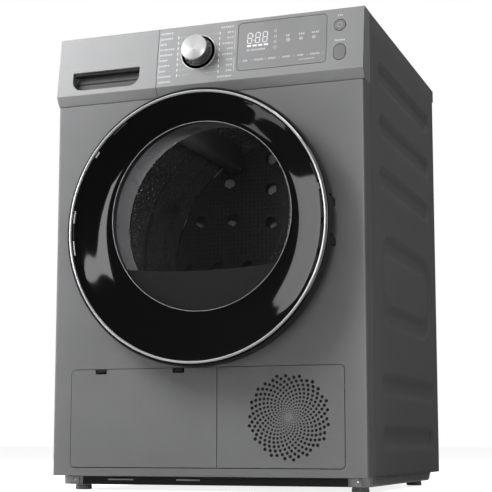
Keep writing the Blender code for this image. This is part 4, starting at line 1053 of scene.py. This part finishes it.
trim_section = curved([(0.2392, -0.0548), (0.2398, -0.0566), (0.2414, -0.0575), (0.2430, -0.0567),
                       (0.2437, -0.0548)], 4)
trim = turned("trim_ring", [(0.2392, -0.0450, DOOR_Z)] + [(r, b, DOOR_Z) for r, b in trim_section]
              + [(0.2437, -0.0450, DOOR_Z)], chrome)
inner_lip = turned("inner_lip", [(0.2366, -0.0450, DOOR_Z), (0.2366, -0.0538, DOOR_Z),
                                 (0.2372, -0.0545, DOOR_Z), (0.2384, -0.0545, DOOR_Z),
                                 (0.2390, -0.0538, DOOR_Z), (0.2390, -0.0450, DOOR_Z)], gloss_black)
outer_lip = turned("outer_lip", [(0.2439, -0.0450, DOOR_Z), (0.2439, -0.0540, DOOR_Z),
                                 (0.2446, -0.0547, DOOR_Z), (0.2456, -0.0545, DOOR_Z),
                                 (0.2461, -0.0535, DOOR_Z), (0.2461, -0.0450, DOOR_Z)], gloss_black)
trim = gathered("trim_ring", [trim, inner_lip, outer_lip])
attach(trim, "door")
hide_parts("door_trim_ring")

shell_outside = [(0.1740, -0.0035, PORT_Z), (0.2270, -0.0035, DOOR_Z)]
shell_outside += [(r, b, DOOR_Z) for r, b in curved([(0.2290, -0.0042), (0.2400, -0.0118),
                                                    (0.2462, -0.0200), (0.2488, -0.0310),
                                                    (0.2489, -0.0490), (0.2484, -0.0510),
                                                    (0.2472, -0.0516), (0.2462, -0.0512)], 4)]
shell_inside = [(0.2462, -0.0445, DOOR_Z), (0.2385, -0.0445, DOOR_Z), (0.2280, -0.0435, DOOR_Z),
                (0.2120, -0.0360, 0.470), (0.1950, -0.0275, 0.476), (0.1820, -0.0225, 0.482),
                (0.1740, -0.0215, PORT_Z)]
door_shell = turned("door_shell", shell_outside + shell_inside, dark_plastic, 160)
pin_tool = revolved("pin_tool", [(0, DOOR_Z - 0.0455), (0.0035, DOOR_Z - 0.0455),
                                 (0.0035, DOOR_Z + 0.0455), (0, DOOR_Z + 0.0455)],
                    (0.238, FRONT - 0.034), dark_plastic, 24, "z")
arm_pockets = [block(f"arm_pocket_{k}", (0.2295, FRONT - 0.0446, z - 0.0085),
                     (0.2600, FRONT + 0.01, z + 0.0085), dark_plastic) for k, z in enumerate((0.43, 0.5))]
carve(door_shell, *arm_pockets, pin_tool)
door_shell.data.shade_smooth()
door_shell.data.set_sharp_from_angle(angle=math.radians(32))
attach(door_shell, "door")
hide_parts("door_frame")


def pane_look(name, colour, alpha, roughness):
    """A thin see-through sheet: it stays glossy, and part of the light passes straight through."""
    look = grained(name, colour, 0.02, 0.05, 0.0, roughness, 0.01, coat=0.3)
    look.node_tree.nodes["Principled BSDF"].inputs["Alpha"].default_value = alpha
    return look


smoked_pane = pane_look("smoked_pane", (0.002, 0.002, 0.002), 0.22, 0.03)
clear_glass = pane_look("clear_glass", (0.01, 0.0104, 0.0104), 0.10, 0.02)
pane_section = [(0.0, -0.0264), (0.06, -0.0262), (0.12, -0.0255), (0.155, -0.0247), (0.1696, -0.0243),
                (0.1709, -0.0238), (0.1709, -0.0222), (0.1696, -0.0217), (0.12, -0.0230),
                (0.06, -0.0237), (0.0, -0.0239)]
window = revolved("window_pane", [(r, FRONT + b) for r, b in pane_section], (0, PORT_Z), smoked_pane, 160)
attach(window, "door")
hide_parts("door_window")
pane_line = turned("pane_edge", [(0.1709, -0.0238, PORT_Z), (0.1709, -0.0252, PORT_Z),
                                 (0.1716, -0.0252, PORT_Z), (0.1716, -0.0238, PORT_Z)], chrome)
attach(pane_line, "door")

glass_bowl = curved([(0.0, 0.0155), (0.06, 0.0155), (0.1200, 0.0152), (0.1460, 0.0120),
                     (0.1580, 0.0040), (0.1640, 0.0004), (0.1785, 0.0)], 5)
bowl_front = [(r - 0.0021 if 0.13 < r < 0.166 else r, b - 0.0028) for r, b in glass_bowl[::-1]]
bowl = revolved("glass_bowl", [(r, FRONT + b) for r, b in glass_bowl + bowl_front], (0, PORT_Z),
                clear_glass, 160)
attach(bowl, "door")
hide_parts("door_glass")

baffle_half = math.acos((PORT_Z - 0.397) / 0.1722)
baffle_line = [(0.1722 * math.sin(a), PORT_Z - 0.1722 * math.cos(a))
               for a in (baffle_half * (2 * k / 64 - 1) for k in range(65))]
chord = 0.1722 * math.sin(baffle_half)
baffle_line += [(chord * u, 0.397 - 0.008 * (1 - u * u)) for u in (1 - 2 * k / 24 for k in range(1, 24))]
baffle_plastic = grained("baffle_plastic", (0.036, 0.036, 0.037), 0.0014, 0.2, 0.15, 0.45)
baffle = extruded("air_baffle", baffle_line, FRONT - 0.0150, FRONT - 0.0122, baffle_plastic)
softened(baffle, 0.0008, 2, 50)
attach(baffle, "door")
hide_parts("door_baffle")

grip_parts = []
for k, (start, end, look) in enumerate((
    (176.5, 183.5, dark_plastic), (170.5, 176.0, chrome), (184.0, 190.5, chrome),
    (-24, -16, dark_plastic), (-13, -3, dark_plastic), (0, 12, dark_plastic), (15, 24, dark_plastic),
    (53, 58, dark_plastic), (62, 66, dark_plastic), (124, 132, dark_plastic), (142, 145, chrome),
)):
    arc = [math.radians(start + (end - start) * s / 12) for s in range(13)]
    outer_line = [(0.2364 * math.cos(t), DOOR_Z + 0.2364 * math.sin(t)) for t in arc]
    inner_line = [(0.2342 * math.cos(t), DOOR_Z + 0.2342 * math.sin(t)) for t in arc[::-1]]
    grip_parts.append(extruded(f"grip_{k}", outer_line + inner_line, FRONT - 0.0545, FRONT - 0.0515,
                               look))
grip = gathered("rim_clips", grip_parts)
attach(grip, "door")


# Door seal: a soft lip round the port that the glass bowl's flange presses on
seal = turned("port_seal", [(r, b, PORT_Z) for r, b in curved([
    (0.1858, 0.0033), (0.1855, 0.0005), (0.1868, -0.0012), (0.1905, -0.0021), (0.1950, -0.0018),
    (0.1990, -0.0008), (0.2000, 0.0010), (0.1998, 0.0033)], 4)], rubber)
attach(seal, "cabinet")
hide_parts("door_seal")


# Drum: rolled stainless sheet with rows of small dimples pressed inwards, two raised beads round it,
# three moulded lifters and a finely perforated back
DRUM_Z, DRUM_FRONT, DRUM_BACK, DRUM_INSIDE, DRUM_OUTSIDE = 0.474, 0.075, 0.5445, 0.2815, 0.283
DRUM_CENTRE = (0.0, DRUM_Z)
wall_line = []
for back in spaced(DRUM_FRONT, DRUM_BACK, 0.0045):
    bead = max(0.0, 1 - min(abs(back - 0.365), abs(back - 0.465), abs(back - 0.150)) / 0.006)
    wall_line.append((0.0022 * bead * bead * (3 - 2 * bead), back))
inside_wall = [(DRUM_INSIDE - bead, FRONT + back) for bead, back in wall_line]
outside_wall = [(DRUM_OUTSIDE - 0.7 * bead, FRONT + back) for bead, back in wall_line[::-1]]
drum_wall = revolved("drum_wall", inside_wall + outside_wall, DRUM_CENTRE, drum_steel, 160)

dimple_tree = bpy.data.node_groups.new("drum_dimples", "GeometryNodeTree")
socket(dimple_tree, "Round", "NodeSocketInt", default=96)
socket(dimple_tree, "Rows", "NodeSocketInt", default=21)
socket(dimple_tree, "First back", "NodeSocketFloat")
socket(dimple_tree, "Row pitch", "NodeSocketFloat", default=0.0185)
socket(dimple_tree, "Drum radius", "NodeSocketFloat", default=DRUM_INSIDE)
socket(dimple_tree, "Dimple", "NodeSocketFloat", default=0.0026)
socket(dimple_tree, "Geometry", "NodeSocketGeometry", "OUTPUT")
given, result = add(dimple_tree, "NodeGroupInput"), add(dimple_tree, "NodeGroupOutput")
total = add(dimple_tree, "ShaderNodeMath", operation="MULTIPLY")
spots = add(dimple_tree, "GeometryNodePoints")
number = add(dimple_tree, "GeometryNodeInputIndex")
row_of = add(dimple_tree, "ShaderNodeMath", operation="DIVIDE")
row_floor = add(dimple_tree, "ShaderNodeMath", operation="FLOOR")
half_row = add(dimple_tree, "ShaderNodeMath", operation="MULTIPLY_ADD")
half_row.inputs[1].default_value = 0.5
angle_of = add(dimple_tree, "ShaderNodeMath", operation="DIVIDE")
full_turn = add(dimple_tree, "ShaderNodeMath", operation="MULTIPLY")
full_turn.inputs[1].default_value = 2 * math.pi
back_of = add(dimple_tree, "ShaderNodeMath", operation="MULTIPLY_ADD")
sine, cosine = (add(dimple_tree, "ShaderNodeMath", operation=kind) for kind in ("SINE", "COSINE"))
x_of = add(dimple_tree, "ShaderNodeMath", operation="MULTIPLY")
z_of = add(dimple_tree, "ShaderNodeMath", operation="MULTIPLY_ADD")
z_of.inputs[2].default_value = DRUM_Z
where = add(dimple_tree, "ShaderNodeCombineXYZ")
put = add(dimple_tree, "GeometryNodeSetPosition")
bump = add(dimple_tree, "GeometryNodeMeshUVSphere")
bump.inputs["Segments"].default_value = 8
bump.inputs["Rings"].default_value = 5
flat = add(dimple_tree, "ShaderNodeCombineXYZ")
squat = add(dimple_tree, "ShaderNodeMath", operation="MULTIPLY")
squat.inputs[1].default_value = 0.45
way = add(dimple_tree, "ShaderNodeCombineXYZ")
copies = add(dimple_tree, "GeometryNodeInstanceOnPoints")
real = add(dimple_tree, "GeometryNodeRealizeInstances")
soft = add(dimple_tree, "GeometryNodeSetShadeSmooth")
painted = add(dimple_tree, "GeometryNodeSetMaterial")
painted.inputs["Material"].default_value = drum_steel
for start, end in (
    (given.outputs["Round"], total.inputs[0]),
    (given.outputs["Rows"], total.inputs[1]),
    (total.outputs[0], spots.inputs["Count"]),
    (number.outputs[0], row_of.inputs[0]),
    (given.outputs["Round"], row_of.inputs[1]),
    (row_of.outputs[0], row_floor.inputs[0]),
    (row_floor.outputs[0], half_row.inputs[0]),
    (number.outputs[0], half_row.inputs[2]),
    (half_row.outputs[0], angle_of.inputs[0]),
    (given.outputs["Round"], angle_of.inputs[1]),
    (angle_of.outputs[0], full_turn.inputs[0]),
    (row_floor.outputs[0], back_of.inputs[0]),
    (given.outputs["Row pitch"], back_of.inputs[1]),
    (given.outputs["First back"], back_of.inputs[2]),
    (full_turn.outputs[0], sine.inputs[0]),
    (full_turn.outputs[0], cosine.inputs[0]),
    (sine.outputs[0], x_of.inputs[0]),
    (given.outputs["Drum radius"], x_of.inputs[1]),
    (cosine.outputs[0], z_of.inputs[0]),
    (given.outputs["Drum radius"], z_of.inputs[1]),
    (x_of.outputs[0], where.inputs["X"]),
    (back_of.outputs[0], where.inputs["Y"]),
    (z_of.outputs[0], where.inputs["Z"]),
    (spots.outputs[0], put.inputs["Geometry"]),
    (where.outputs[0], put.inputs["Position"]),
    (put.outputs[0], copies.inputs["Points"]),
    (bump.outputs["Mesh"], copies.inputs["Instance"]),
    (full_turn.outputs[0], way.inputs["Y"]),
    (way.outputs[0], copies.inputs["Rotation"]),
    (given.outputs["Dimple"], flat.inputs["X"]),
    (given.outputs["Dimple"], flat.inputs["Y"]),
    (given.outputs["Dimple"], squat.inputs[0]),
    (squat.outputs[0], flat.inputs["Z"]),
    (flat.outputs[0], copies.inputs["Scale"]),
    (copies.outputs[0], real.inputs[0]),
    (real.outputs[0], soft.inputs["Geometry"]),
    (soft.outputs[0], painted.inputs["Geometry"]),
    (painted.outputs[0], result.inputs["Geometry"]),
):
    dimple_tree.links.new(start, end)
dimples = grown("dimples", dimple_tree, Round=84, Rows=13, First_back=FRONT + 0.168, Row_pitch=0.0150)
drum = gathered("drum_sheet", [drum_wall, dimples])
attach(drum, "drum")
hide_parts("drum_shell")

back_steel = grained("back_steel", (0.035, 0.035, 0.036), 0.004, 0.12, 0.03, 0.5, 0.08, metallic=1.0)
tree = back_steel.node_tree
shader = tree.nodes["Principled BSDF"]
coords = add(tree, "ShaderNodeTexCoord")
cells = add(tree, "ShaderNodeTexVoronoi", feature="F1")
cells.inputs["Scale"].default_value = 105.0
cells.inputs["Randomness"].default_value = 0.0
holes = add(tree, "ShaderNodeMapRange")
holes.inputs["From Min"].default_value = 0.20
holes.inputs["From Max"].default_value = 0.26
dark = add(tree, "ShaderNodeMix", data_type="RGBA")
dark.inputs[6].default_value = (0.004, 0.004, 0.004, 1)
dark.inputs[7].default_value = (0.035, 0.035, 0.036, 1)
tree.links.new(coords.outputs["Object"], cells.inputs["Vector"])
tree.links.new(cells.outputs["Distance"], holes.inputs["Value"])
tree.links.new(holes.outputs["Result"], dark.inputs[0])
tree.links.new(dark.outputs[2], shader.inputs["Base Color"])
back_nodes = frame["nodes"]["drum_back_wall"]
for held in back_nodes.material_slots:
    held.material = back_steel


# Lifters: hollow moulded ridges screwed inside the drum, rounded so that laundry slides over them
for number in (1, 2, 3):
    node = f"drum_lifter_{number}"
    turn = math.radians((90, 210, 330)[number - 1])
    ridge = [(-0.036, -0.0005), (-0.030, 0.006), (-0.022, 0.022), (-0.014, 0.036), (-0.006, 0.0425),
             (0.006, 0.0425), (0.014, 0.036), (0.022, 0.022), (0.030, 0.006), (0.036, -0.0005)]
    line = curved(ridge, 4)
    base = [(u, math.sqrt(0.2808 ** 2 - u * u)) for u in (0.036 - 0.072 * k / 12 for k in range(13))]
    outline = []
    for u, w in [(u, 0.2785 - w * 0.98) for u, w in line] + base:
        outline.append((u * math.cos(turn) + w * math.sin(turn), DRUM_Z - u * math.sin(turn)
                        + w * math.cos(turn)))
    lifter = extruded(f"lifter_{number}", outline, FRONT + 0.100, FRONT + 0.500, dark_plastic)
    softened(lifter, 0.003, 3, 60)
    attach(lifter, "drum")
    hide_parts(node)


# Back of the cabinet: a galvanised sheet and a shallow duct pan, screwed round their edges, and the
# mains gland, where only the gland is fitted
rear_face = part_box("rear_panel")[1][1]
sheet_screws = []
for k, (x, z) in enumerate(
    [(side * 0.284, z) for side in (-1, 1) for z in (0.09, 0.27, 0.45, 0.63, 0.80)]
    + [(x, 0.80) for x in (-0.14, 0.0, 0.14)] + [(x, 0.070) for x in (-0.20, 0.0, 0.20)]
):
    sheet_screws.append(screw(f"rear_screw_{k}", (x, rear_face - 0.0001, z), chrome, 0.0040, "back"))
rear_screws = gathered("rear_screws", sheet_screws)
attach(rear_screws, "cabinet")


bpy.context.view_layer.update()
